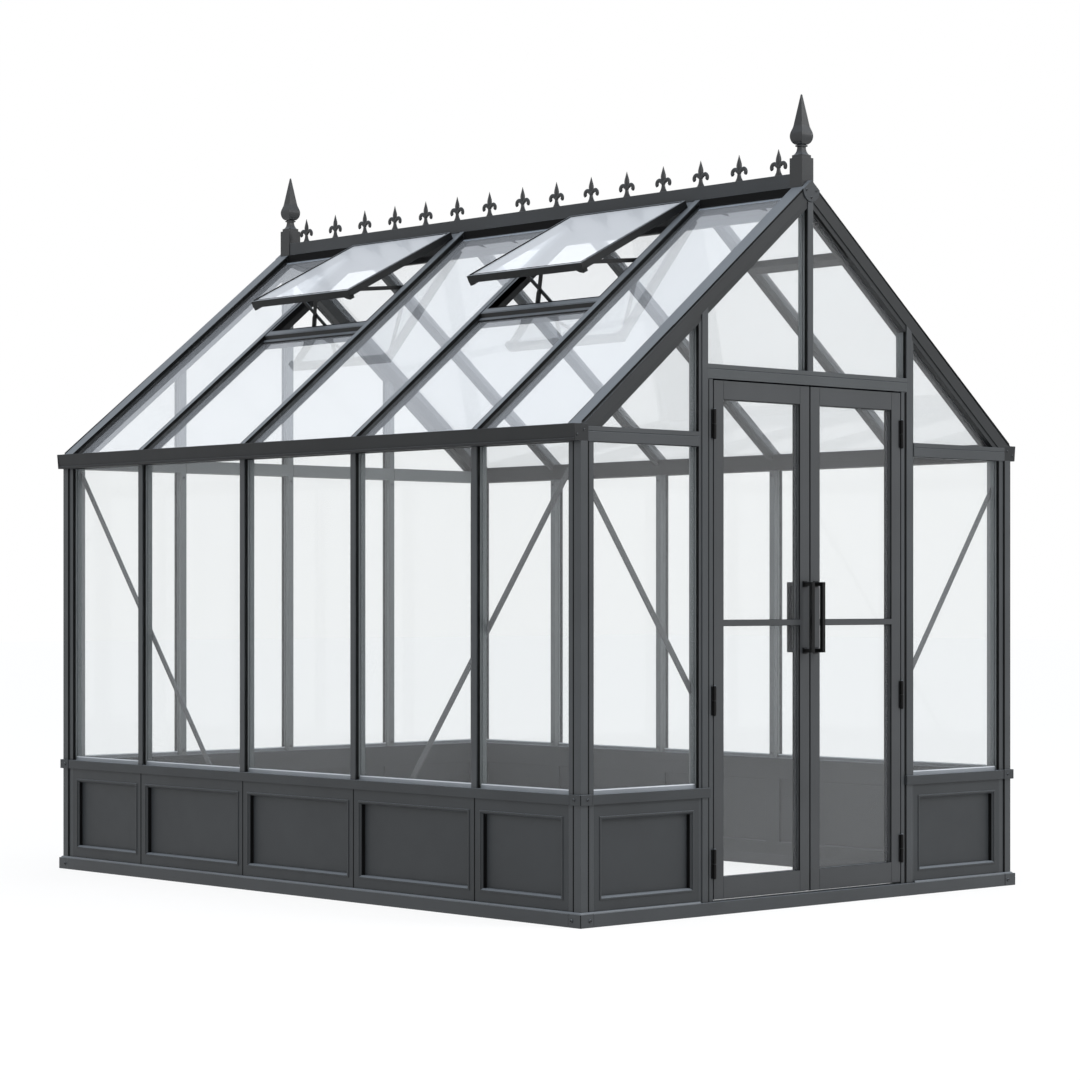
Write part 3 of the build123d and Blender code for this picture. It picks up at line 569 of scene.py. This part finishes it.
# --- Pane feet -----------------------------------------
# Each wall pane stands on the sill behind a mill-finish bead, with a silicone fillet drawn along
# the top of the bead against the glass, painted near white as the bead's highlight.

bead_metal = powder_coat("bead_metal", (0.19, 0.205, 0.22), 0.4, 0.4, grain=0.1, arris=0)
# Near white painted on the fillet: a painted highlight along the top of the bead.
fillet_highlight = powder_coat("fillet_painted_highlight", (0.86, 0.88, 0.90), 0.4, 0.4, grain=0.1, arris=0)
bead_high = 0.0125
foot_lap = 0.002
glass_face = -pane_depth + 0.0002
bead_outline = [(0, -0.0205), (0.0110, -0.0215), (bead_high, -0.0228), (bead_high, glass_face),
                (0, glass_face)]
fillet_outline = [(bead_high, -0.0230), (0.0155, -0.0246), (0.0170, glass_face),
                  (bead_high, glass_face)]


def along_feet(outline):
    """Bead or fillet on the sill along the foot of every pane, from upright to upright."""
    def along_foot(origin, right, span):
        ends = [origin + edge * right + sill_top * up
                for edge in (span[1] - foot_lap, span[0] + foot_lap)]
        return [carried(outline, ends, np.cross(right, up))]
    return round_walls(along_foot, bar_cap)


add_piece("pane_foot_beads", along_feet(bead_outline), bead_metal)
add_piece("pane_foot_fillets", along_feet(fillet_outline), fillet_highlight)


# --- Eaves ---------------------------------------------
# The eaves beam carries the roof glass and is the gutter too: a slanted face with a lip at its
# foot. Each end is closed by a flat cap held with two screws.

finish(powder_coat("gutter_coat", (0.0112, 0.0122, 0.013), roughness=0.5, gloss=0.25), "gutters")
gutter_low, gutter_high = box_of("gutters")
end_screw = 0.005
end_screw_places = ((-0.016, 0.022), (0.018, 0.040))
end_screws = [screw_head((-half_width + along, gutter_low[1], gutter_low[2] + level), (0, -1, 0),
                         end_screw) for along, level in end_screw_places]
add_piece("gutter_end_screws", four_corners(end_screws), steel)


# --- Gable rafters and glass gaskets -------------------
# Deep rafters, grooved along their top edge, mitred at the ridge. Black gaskets close the glass
# of both gables; a black cord fills the groove as painted shade.

finish(powder_coat("rafter_coat", (0.0145, 0.0158, 0.0168), roughness=0.45, gloss=0.28),
       "gable_rafters")
# The bars' tops take the whole share of painted sheen, paler where the sky falls on them.
finish(powder_coat("roof_bar_coat", (0.022, 0.0245, 0.0265), painted_sheen=1.0), "roof_bars", "purlin")

eaves_height = gutter_high[2]
apex_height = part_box("gable_rafters")[1][2]
slope = np.arctan2(apex_height - eaves_height, half_width)
slope_run = np.array([np.cos(slope), 0, np.sin(slope)])
slope_out = np.array([-np.sin(slope), 0, np.cos(slope)])
eaves_edge = np.array([-half_width, 0, eaves_height])


def roof_level(x, depth):
    """Height at x of the plane that lies this depth under the bars' caps."""
    return eaves_height + (half_width - abs(x)) * np.tan(slope) - depth / np.cos(slope)


def roof_reach(level, depth):
    """Distance from the middle at which the plane of that depth has this height."""
    return half_width - (level - eaves_height + depth / np.cos(slope)) / np.tan(slope)


rafter_deep = 0.075
rail_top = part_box("eaves_rails")[1][2]
jamb_edge, _, transom_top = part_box("transom")[1]
bar_half = bar_cap / 2


def gable_corner(edge):
    """Corners of the pane from the rail's top up an upright's edge and down the rafter."""
    return [(-edge, rail_top), (-edge, roof_level(edge, rafter_deep)),
            (-roof_reach(rail_top, rafter_deep), rail_top)]


def gable_middle(edge, foot):
    """Corners of the pane between the middle bar and an upright's edge, on a rail."""
    return [(-bar_half, foot), (-bar_half, roof_level(bar_half, rafter_deep)),
            (-edge, roof_level(edge, rafter_deep)), (-edge, foot)]


def pane_gaskets(*panes):
    """Closed gaskets round panes in the left half of the front gable."""
    return [gasket((0, -half_length, 0), (1, 0, 0), up, corners, closed=True)
            for corners in panes]


quarter = rear_lines[2]
front_gable = pane_gaskets(gable_corner(-flange_edge), gable_middle(jamb_edge, transom_top))
rear_gable = pane_gaskets(gable_corner(quarter + bar_half),
                          gable_middle(quarter - bar_half, rail_top))
add_rubber("gable_gaskets", both_hands(front_gable + mirrored(rear_gable, 1)))

groove_depth = 0.0065
cord_back = 0.0038
cord_foot, cord_head = half_width - 0.008, 0.048
rafter_outline = [(a, max(b, -cord_back)) for a, b in cord_in_groove(0, groove)]
rafter_line = [(-across, -half_length, roof_level(across, groove_depth))
               for across in (cord_foot, cord_head)]
rafter_shade_cord = carried(rafter_outline, rafter_line, (0, -1, 0))
# Painted shade: the black cord makes the groove along the rafter's top edge read as a shadow line.
add_rubber("rafter_groove_shade_cords", four_corners([rafter_shade_cord]))


# --- Roof glazing --------------------------------------
# Gaskets along the roof bars, a black strip down the ridge's flank over every fixed pane as
# painted shade under the cresting, and a folded aluminium flashing along the head of the glass.

rafter_wide = 0.070
roof_spans = clear_spans(bar_lines, half_length, rafter_wide, bar_cap)
(_, _, crest_foot), (ridge_side, _, _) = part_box("cresting_rail")
roof_foot = 0.001
roof_head = (half_width - ridge_side - pane_depth * np.sin(slope)) / np.cos(slope)
roof_lines = [gasket(eaves_edge, (0, -1, 0), slope_run, edge_path) for start, end in roof_spans
              for edge_path in ([(end, roof_foot), (end, roof_head)],
                                [(start, roof_head), (start, roof_foot)])]
add_rubber("roof_gaskets", both_hands(roof_lines))

strip_thick, strip_foot, strip_bed = 0.0016, 0.006, 0.0004
glass_line = roof_level(ridge_side, pane_depth)
strip_outline = [(-ridge_side, crest_foot - 0.001), (-ridge_side - strip_thick, crest_foot - 0.003),
                 (-ridge_side - strip_thick, glass_line + strip_foot),
                 (-ridge_side - strip_foot,
                  roof_level(ridge_side + strip_foot, pane_depth) + strip_bed),
                 (-ridge_side, glass_line + strip_bed)]
# Painted shade: a black strip on the ridge's flank, where the cresting shades it.
ridge_shade_strips = [carried(strip_outline, [(0, start, 0), (0, end, 0)], up)
                  for start, end in roof_spans]
flashing_outline = [(0, 0.0003), (0, 0.0020), (-0.0075, 0.0020), (-0.0085, 0.0003)]
flashing_back, flashing_gap = 0.006, 0.004
flashing_line = eaves_edge + (roof_head - flashing_back) * slope_run - pane_depth * slope_out
flashings = [carried(flashing_outline, [flashing_line + (0, start + flashing_gap, 0),
                                        flashing_line + (0, end - flashing_gap, 0)], slope_out)
             for start, end in roof_spans]
flashing_metal = powder_coat("flashing_metal", (0.30, 0.35, 0.41), 0.35, 0.5, grain=0.1, arris=0)
add_rubber("ridge_flank_shade_strips", ridge_shade_strips[::2] + mirrored(ridge_shade_strips, 0))
add_piece("ridge_flashings", flashings[::2] + mirrored(flashings, 0), flashing_metal)


# --- Roof vents ----------------------------------------
# Two sashes hinged under the ridge and propped open on the left slope. Each closes on a kerb with
# a rubber lining and a folded apron at its foot, and has a cast lug under each foot corner.

vent_coat = powder_coat("vent_coat", (0.006, 0.0065, 0.007), roughness=0.4, gloss=0.22)
finish(vent_coat, "vent_kerbs", "vent_sashes")

kerb_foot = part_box("vent_kerbs")[0][0]
vent_spans = roof_spans[1::2]
vent_length = 0.643
kerb_rail, kerb_side, kerb_drop = 0.030, 0.018, 0.003
vent_foot = (kerb_foot + half_width) / np.cos(slope)
vent_head = vent_foot + vent_length
lining_outline = [(0, -0.002), (-0.0022, -0.0035), (-0.0022, -0.034), (0, -0.034)]
apron_thick, apron_fold, apron_reach, apron_end, apron_bed = 0.0035, 0.005, 0.013, 0.001, 0.0005
apron_top, apron_foot = roof_level(kerb_foot, kerb_drop), roof_level(kerb_foot, pane_depth)
apron_low = apron_foot - apron_reach * np.tan(slope)
apron_outline = [(kerb_foot, apron_top - apron_fold), (kerb_foot - apron_thick, apron_top - 0.008),
                 (kerb_foot - apron_thick, apron_foot + apron_fold),
                 (kerb_foot - apron_reach, apron_low + apron_fold),
                 (kerb_foot - apron_reach, apron_low + apron_bed),
                 (kerb_foot, apron_foot + apron_bed)]
linings, aprons = [], []
for start, end in vent_spans:
    left, right = start + kerb_side, end - kerb_side
    along = np.array([vent_foot + kerb_rail, vent_head, vent_head, vent_foot + kerb_rail])
    hole_x = -half_width + along * np.cos(slope)
    hole_y = [right, right, left, left]
    hole_path = np.stack([hole_x, hole_y, roof_level(hole_x, kerb_drop)], axis=1)
    linings.append(carried(lining_outline, hole_path, up, closed=True))
    aprons.append(carried(apron_outline, [(0, start + apron_end, 0), (0, end - apron_end, 0)], up))
add_rubber("vent_kerb_linings", linings)
add_piece("vent_aprons", aprons, vent_coat)

vent_tilt = np.radians(12)
sash_run = np.cos(vent_tilt) * slope_run - np.sin(vent_tilt) * slope_out
sash_out = np.sin(vent_tilt) * slope_run + np.cos(vent_tilt) * slope_out
sash_seat = 0.0003
sash_hinge = eaves_edge + vent_head * slope_run - (kerb_drop - sash_seat) * slope_out
sash_gap, sash_rail, sash_rim, sash_thick = 0.008, 0.024, 0.008, 0.030
lug_thick = 0.020
lug_outline = [(0, 0.001), (0, -0.015), (0.006, -0.017), (0.026, -0.013), (0.040, -0.006),
               (0.050, 0.001)]
sash_seal_outline = [(0.0003, -0.0029), (0.0003, -0.0008), (-0.0022, -0.0012), (-0.0034, -0.0029)]
lugs, sash_seals = [], []
for start, end in vent_spans:
    middle, half = (start + end) / 2, (end - start) / 2 - sash_gap
    corner = sash_hinge - vent_length * sash_run + (0, middle + half, 0)
    points, faces = carried(lug_outline, [corner, corner + lug_thick * sash_run], sash_out)
    lugs += [(points, faces), (points * (1, -1, 1) + (0, 2 * middle, 0), faces)]
    rim, foot, head = half - sash_rim, -vent_length + sash_rim, -sash_rim
    rim_corners = np.array([(-rim, foot), (-rim, head), (rim, head), (rim, foot)])
    seal_path = (sash_hinge + (0, middle, 0) + rim_corners[:, 1:] * sash_run
                 + sash_thick * sash_out + rim_corners[:, :1] * (0, 1, 0))
    sash_seals.append(carried(sash_seal_outline, seal_path, sash_out, closed=True))
add_piece("vent_sash_lugs", lugs, vent_coat)
add_rubber("vent_sash_gaskets", sash_seals)


# --- Vent openers and stays ----------------------------
# Crossed flat arms between the kerb and the sash, with a wax cylinder on the lower half of one
# arm, domed rivets at every pivot, and a flat stay each side.

opener_coat = powder_coat("opener_coat", (0.005, 0.0053, 0.0056), 0.4, 0.25, arris=0.001)
finish(opener_coat, "scissor_openers", "vent_stays")

opener_spread, opener_reach, arm_thick = 0.058, 0.024, 0.005
pivot_drop, pivot_rise = 0.026, 0.0115
pivot_x = -half_width + (vent_foot + kerb_rail) * np.cos(slope)
cylinder_along = np.array([0.0, 0.004, 0.008, 0.46, 0.50, 0.52, 0.60, 0.62])
cylinder_reach = 0.001 * np.array([4.0, 9.0, 10.0, 10.0, 9.0, 5.5, 5.5, 3.5])
cylinder_foot, cylinder_share = 0.04, 0.8
rivet_along = 0.001 * np.array([0.0, 1.2, 2.4, 3.0])
rivet_reach = 0.001 * np.array([6.5, 6.3, 4.2, 1.2])
cylinders, rivets = [], []
for start, end in vent_spans:
    middle = (start + end) / 2
    low = np.array([pivot_x + opener_reach, middle, roof_level(pivot_x, pivot_drop)])
    high = (sash_hinge + (0, middle, 0) + pivot_rise * sash_out
            + (sash_rail + opener_reach - vent_length) * sash_run)
    face = np.cross((0, 1, 0), high - low)
    face /= np.linalg.norm(face)
    spread = np.array([0, opener_spread, 0])
    arm = high - low - 2 * spread
    reach = np.linalg.norm(arm)
    cylinders.append(turned(low + spread - arm_thick / 2 * face, arm,
                            reach * (cylinder_foot + cylinder_share * cylinder_along),
                            cylinder_reach))
    rivets += [turned(pivot + side * arm_thick * face, side * face, rivet_along, rivet_reach)
               for hand in (-1, 1) for pivot in (low + hand * spread, high + hand * spread)
               for side in (1, -1)]
add_piece("opener_cylinders", cylinders, opener_coat, smooth=40)
add_piece("opener_rivets", rivets, steel, smooth=40)


# --- Braces --------------------------------------------
# Flat strips bolted across the inside of the left wall and the front panels, against racking.

finish(powder_coat("brace_coat", (0.050, 0.053, 0.055), roughness=0.4), "wall_braces")
brace_thick = 0.005
bolt_places = ((0.085, eaves_foot - 0.055), (0.992, sill_top + 0.040))
wall_bolts = [screw_head((-half_width + bar_back + brace_thick, -half_length + along, level),
                         (1, 0, 0), bolt_radius) for along, level in bolt_places]
add_piece("brace_bolts", wall_bolts + mirrored(wall_bolts, 1), steel)


# --- Ridge ornament ------------------------------------
# Cast aluminium cresting: a box rail, a row of fleurs-de-lis and a four-sided spire at each
# gable, with a round plate over each apex. A fleur has a ridged spear, two curled petals, a
# collar and a flared foot, cast in one.

finish(powder_coat("cast_coat", (0.0205, 0.0236, 0.0265), grain=0.3), "apex_plates",
       "cresting_rail")
ornament_coat = powder_coat("ornament_coat", (0.0105, 0.0118, 0.013), roughness=0.34, gloss=0.45,
                            grain=0.3, painted_sheen=0.25)
finish(ornament_coat, "fleur_finials", "spire_finials")
# The ridge beam is painted near black as painted shade under the cresting rail.
finish(powder_coat("ridge_painted_shade_coat", (0.010, 0.0108, 0.0114), roughness=0.55, gloss=0.2), "ridge_beam")


def swept(middle, across, half_across, half_thick, sides=10, fullness=2.0):
    """Shell of ovals along a middle line in the YZ plane.

    A ring's point at angle t is half_across * |cos t| ^ (2 / fullness) to the across side and
    half_thick * |sin t| ^ (2 / fullness) along X, each with the sign of its cosine or sine. A
    fullness of 2 is an ellipse and of 1 a lozenge with a ridge.
    """
    turn = 2 * np.pi * np.arange(sides) / sides
    wide = np.sign(np.cos(turn)) * np.abs(np.cos(turn)) ** (2 / fullness)
    deep = np.sign(np.sin(turn)) * np.abs(np.sin(turn)) ** (2 / fullness)
    centre = np.concatenate([np.zeros((len(middle), 1)), middle], axis=1)
    aside = np.concatenate([np.zeros((len(middle), 1)), across], axis=1)
    ring = half_across[:, None, None] * wide[:, None] * aside[:, None]
    thick = half_thick[:, None, None] * deep[:, None] * np.array([1, 0, 0])
    return ringed(centre[:, None] + ring + thick)


def standing(levels, half_across, half_thick, sides, fullness):
    """Part of a fleur that stands on its middle line, from sizes in millimetres."""
    levels, half_across, half_thick = (0.001 * np.array(sizes, float)
                                       for sizes in (levels, half_across, half_thick))
    middle = np.stack([0 * levels, levels], axis=1)
    across = np.stack([1 + 0 * levels, 0 * levels], axis=1)
    return swept(middle, across, half_across, half_thick, sides, fullness)


def petal():
    """Curled petal on the +Y side: an arc from the collar over and down, its radius shrinking.

    The bearing turns evenly from 168 degrees through 222, and the radius shrinks with the square
    of the way along. Over the last seventh the section closes like the end of an ellipse.
    """
    part = np.linspace(0, 1, 13)
    bearing = np.radians(168 - 222 * part)
    radius = 0.0150 - 0.0040 * part ** 2
    direction = np.stack([np.cos(bearing), np.sin(bearing)], axis=1)
    curl_centre = np.array([0.0235, 0.0380])
    tip_start, tip_length, bluntness = 0.86, 0.142, 0.02
    closing = np.clip(part - tip_start, 0, None) / tip_length
    tip = np.sqrt(np.clip(1 - closing ** 2, bluntness, None))
    return swept(curl_centre + radius[:, None] * direction, direction,
                 (0.0082 + 0.0016 * part) * tip, (0.0060 - 0.0008 * part) * tip)


foot_part = standing((0, 3, 9, 17, 26, 36, 47), (24, 23, 17.5, 12, 9.2, 7.8, 7.4),
                     (6, 6, 5.4, 5, 4.8, 4.8, 4.6), 12, 2.6)
collar_part = standing((34.5, 35.5, 38.5, 41.5, 42.5), (9, 10.6, 11.4, 10.6, 9),
                       (5.0, 5.9, 6, 5.9, 5.0), 12, 2.6)
spear_part = standing((44, 48, 54, 61, 67, 74, 83, 93, 102, 109),
                      (7, 9.6, 13, 15, 15.4, 14.2, 10.8, 6.8, 3.2, 0.5),
                      (4.2, 4.8, 5.6, 6, 6, 5.7, 4.7, 3.1, 1.6, 0.3), 8, 1.25)
fleur_parts = [foot_part, collar_part, spear_part, petal(), *mirrored([petal()], 1)]
fleur_low, fleur_high = box_of("fleur_finials")
petal_reach = 0.047
fleur_count = 15
stands = np.linspace(fleur_low[1] + petal_reach, fleur_high[1] - petal_reach, fleur_count)
fleurs = [(points + (0, stand, fleur_low[2]), faces) for stand in stands
          for points, faces in fleur_parts]
cast_fleurs = add_piece("cast_fleurs", fleurs, ornament_coat, smooth=35)
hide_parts("fleur_finials")

plate_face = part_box("apex_plates")[0][1]
plate_screw_places = ((-0.028, 0.040), (0.028, 0.040), (0, 0.068))
plate_screws = [screw_head((across, plate_face, apex_height - drop), (0, -1, 0), end_screw)
                for across, drop in plate_screw_places]
add_piece("apex_plate_screws", plate_screws + mirrored(plate_screws, 1), steel)


# --- Glass ---------------------------------------------
# Clear toughened sheets, 4 mm thick, held in the bars' rebates. Each face mirrors the sky a
# little more the flatter it is looked at, and a film of dust and sky light lies on the roof.

def two_surfaces(tree, share, first, second):
    """The first surface with this share of the second one."""
    return shader(tree, "ShaderNodeMixShader", "Shader", {"Fac": share, 1: first, 2: second})


def sheet_glass(name, film_share, film_colour, film_spread, mirror_gain):
    """Clear sheet: a thin bright film of dust and sky on a see-through body, and a mirror on top.

    The mirror is a sheet's own, both faces together: the share of one face times the gain. Mirror
    and film are met once, on the face that the eye meets first, and not again from inside the
    pane. The film is cloudy by its spread.
    """
    material, tree, film = new_material(name)
    feed(film, {"Base Color": (*film_colour, 1), "Roughness": 0.3})
    clear = shader(tree, "ShaderNodeBsdfTransparent", "BSDF", {"Color": (0.966, 0.972, 0.973, 1)})
    mirror = shader(tree, "ShaderNodeBsdfGlossy", "BSDF", {"Roughness": 0.015})
    inside = shader(tree, "ShaderNodeNewGeometry", "Backfacing", {})
    outer = worked(tree, "SUBTRACT", 1.0, inside)
    cloudy = ranged(tree, noise(tree, scale=1.7, detail=3.0), film_share - film_spread,
                    film_share + film_spread)
    bounce = shader(tree, "ShaderNodeFresnel", "Fac", {"IOR": 1.5})
    both_faces = worked(tree, "MULTIPLY", bounce, mirror_gain, clamped=True)
    body = two_surfaces(tree, worked(tree, "MULTIPLY", cloudy, outer), clear, film.outputs["BSDF"])
    whole = two_surfaces(tree, worked(tree, "MULTIPLY", both_faces, outer), body, mirror)
    feed(tree.nodes["Material Output"], {"Surface": whole})
    return material


wall_glass = sheet_glass("wall_glass", 0.045, (0.93, 0.94, 0.95), film_spread=0.012,
                         mirror_gain=0.9)
roof_glass = sheet_glass("roof_glass", 0.24, (0.90, 0.94, 1.0), film_spread=0.03, mirror_gain=1.5)
vent_glass = sheet_glass("vent_glass", 0.52, (0.93, 0.96, 1.0), film_spread=0.03, mirror_gain=0.2)
finish(wall_glass, "left_wall_glass", "right_wall_glass", "rear_wall_glass", "front_wall_glass",
       "gable_glass", "left_door_glass", "right_door_glass")
finish(roof_glass, "roof_glass_left", "roof_glass_right")
finish(vent_glass, "vent_glass")


# --- Doors ---------------------------------------------
# Two leaves of square tube with one glazing bar each. A gasket lines each pane's reveal, a fine
# joint shows where rail meets stile, and brush seals close the meeting edge and the foot.

finish(powder_coat("door_coat", (0.032, 0.0342, 0.036)), "left_door_frame", "right_door_frame")

leaf_low, leaf_high = box_of("left_door_frame")
pane_low, pane_high = box_of("left_door_glass")
leaf_face, leaf_middle = leaf_low[1], (leaf_low[1] + leaf_high[1]) / 2
door_rebate = 0.008
stile, mid_bar, mid_bar_height = 0.052, 0.021, 1.090
pane_left, pane_right = leaf_low[0] + stile, leaf_high[0] - stile
pane_foot, pane_head = pane_low[2] + door_rebate, pane_high[2] - door_rebate
reveal_outline = [(0, -0.0006), (-0.0012, -0.0012), (-0.0015, -0.0058), (-0.0005, -0.0068),
                  (0, -0.0068)]
reveals = [carried(reveal_outline, [(pane_right, leaf_face, foot), (pane_right, leaf_face, head),
                                    (pane_left, leaf_face, head), (pane_left, leaf_face, foot)],
                   (0, -1, 0), closed=True)
           for foot, head in ((pane_foot, mid_bar_height - mid_bar / 2),
                              (mid_bar_height + mid_bar / 2, pane_head))]
joint_outline = [(-0.0007, 0), (-0.0005, 0.00025), (0.0005, 0.00025), (0.0007, 0), (0, -0.0005)]
joint_end = 0.001
joint_lines = [carried(joint_outline, upright(across, leaf_face, foot, head), (0, -1, 0))
               for across in (pane_left, pane_right)
               for foot, head in ((leaf_low[2] + joint_end, pane_foot),
                                  (pane_head, leaf_high[2] - joint_end))]
outer_lines = reveals + joint_lines
inner_lines = [(points * (1, -1, 1) + (0, 2 * leaf_middle, 0), faces)
               for points, faces in outer_lines]

brush_outline = [(0, -0.008), (0.0028, -0.0048), (0.0030, 0), (0.0028, 0.0048), (0, 0.008)]
brush_gap = 0.004
meeting_brush = carried([(-a, b) for a, b in brush_outline],
                        upright(leaf_high[0], leaf_middle, leaf_low[2], leaf_high[2]), (0, 1, 0))
foot_brush = carried(brush_outline, [(leaf_high[0] - brush_gap, leaf_middle, leaf_low[2]),
                                     (leaf_low[0] + brush_gap, leaf_middle, leaf_low[2])],
                     (0, 1, 0))
left_seals = outer_lines + inner_lines + [meeting_brush, foot_brush]
for body, shells in (("left_door", left_seals), ("right_door", mirrored(left_seals, 0))):
    add_rubber(body + "_seals", shells, body)


# --- Door stops ----------------------------------------
# Rubber-faced stops on the jambs and under the transom, just behind the closed leaves.

hinge_gap = 0.006
stop_gap, stop_depth, stop_lap, stop_bevel = 0.0012, 0.009, 0.017, 0.002
door_edge = leaf_low[0] - hinge_gap
stop_front, stop_back = leaf_high[1] + stop_gap, leaf_high[1] + stop_depth
stop_outline = [(stop_bevel, -stop_back), (-stop_lap, -stop_back),
                (-stop_lap, -stop_front - stop_bevel), (-stop_lap + 2 * stop_bevel, -stop_front),
                (-stop_bevel, -stop_front), (stop_bevel, -stop_front - stop_bevel)]
stop_foot, stop_head = base_top + floor_gap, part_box("transom")[0][2]
stop_path = (upright(-door_edge, 0, stop_foot, stop_head)
             + upright(door_edge, 0, stop_head, stop_foot))
add_rubber("door_stops", [carried(stop_outline, stop_path, (0, -1, 0))])


# --- Door hardware -------------------------------------
# Lift-off hinges with a domed cap on each end of the barrel, and square pulls, all coated black.

black = powder_coat("hardware_black", (0.0028, 0.0029, 0.003), gloss=0.16, arris=0.0012)
finish(black, "left_door_handles", "right_door_handles", "left_door_hinges", "right_door_hinges",
       "jamb_hinges")
hinge_half = 0.054
hinge_levels = (leaf_low[2] + 0.134, 0.800, leaf_high[2] - 0.163)
dome_along = 0.001 * np.array([-0.4, 0.6, 2.0, 3.2, 3.9])
dome_reach = 0.001 * np.array([6.1, 6.3, 5.4, 3.5, 1.0])


def barrel_caps(x, y, way):
    """Domed caps on the three hinges of a door, on their ends that look up (1) or down (-1)."""
    return [turned((x, y, level + way * hinge_half), way * up, dome_along, dome_reach)
            for level in hinge_levels]


jamb_caps = []
for joint in frame["record"]["behaviour"]["joints"]:
    x, y, _ = joint["pos_m"]
    add_piece(joint["child"] + "_hinge_caps", barrel_caps(x, y, 1), black,
              body=joint["child"], smooth=50)
    jamb_caps += barrel_caps(x, y, -1)
add_piece("jamb_hinge_caps", jamb_caps, black, smooth=50)


# --- Floor, light and camera ---------------------------
# A pale studio floor that keeps a faint shadow, a sky that is bluer and brighter overhead than
# at the horizon, a white backdrop for what is seen directly or in the glass, and two soft boxes.

def seen(tree):
    """One for a ray from the camera, a mirror or through a pane, and otherwise none."""
    rays = tree.nodes.new("ShaderNodeLightPath").outputs
    either = worked(tree, "MAXIMUM", rays["Is Camera Ray"], rays["Is Glossy Ray"])
    return worked(tree, "MAXIMUM", either, rays["Is Transmission Ray"])


def place_object(name, data):
    """New object of the scene that shows this data."""
    placed = bpy.data.objects.new(name, data)
    bpy.context.scene.collection.objects.link(placed)
    return placed


white_share = 0.85
floor_paint, tree, paint = new_material("pale_floor")
feed(paint, {"Base Color": (0.86, 0.86, 0.86, 1), "Roughness": 0.9, "Specular IOR Level": 0.0})
white = shader(tree, "ShaderNodeEmission", "Emission", {})
lit = two_surfaces(tree, worked(tree, "MULTIPLY", seen(tree), white_share), paint.outputs["BSDF"],
                   white)
feed(tree.nodes["Material Output"], {"Surface": lit})
floor_reach = 60.0
floor_mesh = bpy.data.meshes.new("floor")
floor_corners = floor_reach * np.array([(-1, -1, 0), (1, -1, 0), (1, 1, 0), (-1, 1, 0)])
floor_mesh.from_pydata(floor_corners.tolist(), [], [(0, 1, 2, 3)])
floor_mesh.materials.append(floor_paint)
floor = place_object("floor", floor_mesh)

world = bpy.data.worlds.new("sky")
bpy.context.scene.world = world
world.use_nodes = True
tree = world.node_tree
direction = shader(tree, "ShaderNodeTexCoord", "Generated", {})
height = shader(tree, "ShaderNodeSeparateXYZ", "Z", {"Vector": direction})
horizon, zenith = (0.54, 0.55, 0.57), (1.35, 1.42, 1.52)
sky = shader(tree, "ShaderNodeBackground", "Background",
             {"Color": ramp(tree, ranged(tree, height, 0.0, 1.0, start=0.1, end=0.95), horizon,
                            zenith)})
backdrop = shader(tree, "ShaderNodeBackground", "Background",
                  {"Color": ramp(tree, height, (1, 1, 1), (0.86, 0.95, 1.08), start=0.2)})
feed(tree.nodes["World Output"], {"Surface": two_surfaces(tree, seen(tree), sky, backdrop)})


aim_height = 1.2


def soft_box(name, place, size, power):
    """Square area lamp at a place, turned to the middle of the greenhouse."""
    lamp = bpy.data.lights.new(name, "AREA")
    lamp.shape = "SQUARE"
    lamp.size = size
    lamp.energy = power
    box = place_object(name, lamp)
    aim = (0, 0, aim_height) - np.array(place)
    tilt = np.pi / 2 + np.arctan2(aim[2], np.hypot(aim[0], aim[1]))
    box.location = place
    box.rotation_euler = (tilt, 0, np.arctan2(aim[1], aim[0]) - np.pi / 2)


soft_box("key_light", (3.8, -9.2, 7.0), size=4.0, power=620.0)
soft_box("fill_light", (-9.0, -2.0, 6.0), size=6.0, power=200.0)

camera_data = bpy.data.cameras.new("camera")
camera_data.sensor_width = 36.0
camera_data.lens = 101.18
camera_data.shift_y = 0.0534
camera_data.clip_end = 500.0
camera = place_object("camera", camera_data)
camera.location = (-8.693, -9.553, 1.185)
camera.rotation_euler = (np.pi / 2, 0, np.radians(-42.629))
bpy.context.scene.camera = camera
bpy.context.scene.view_settings.view_transform = "Standard"
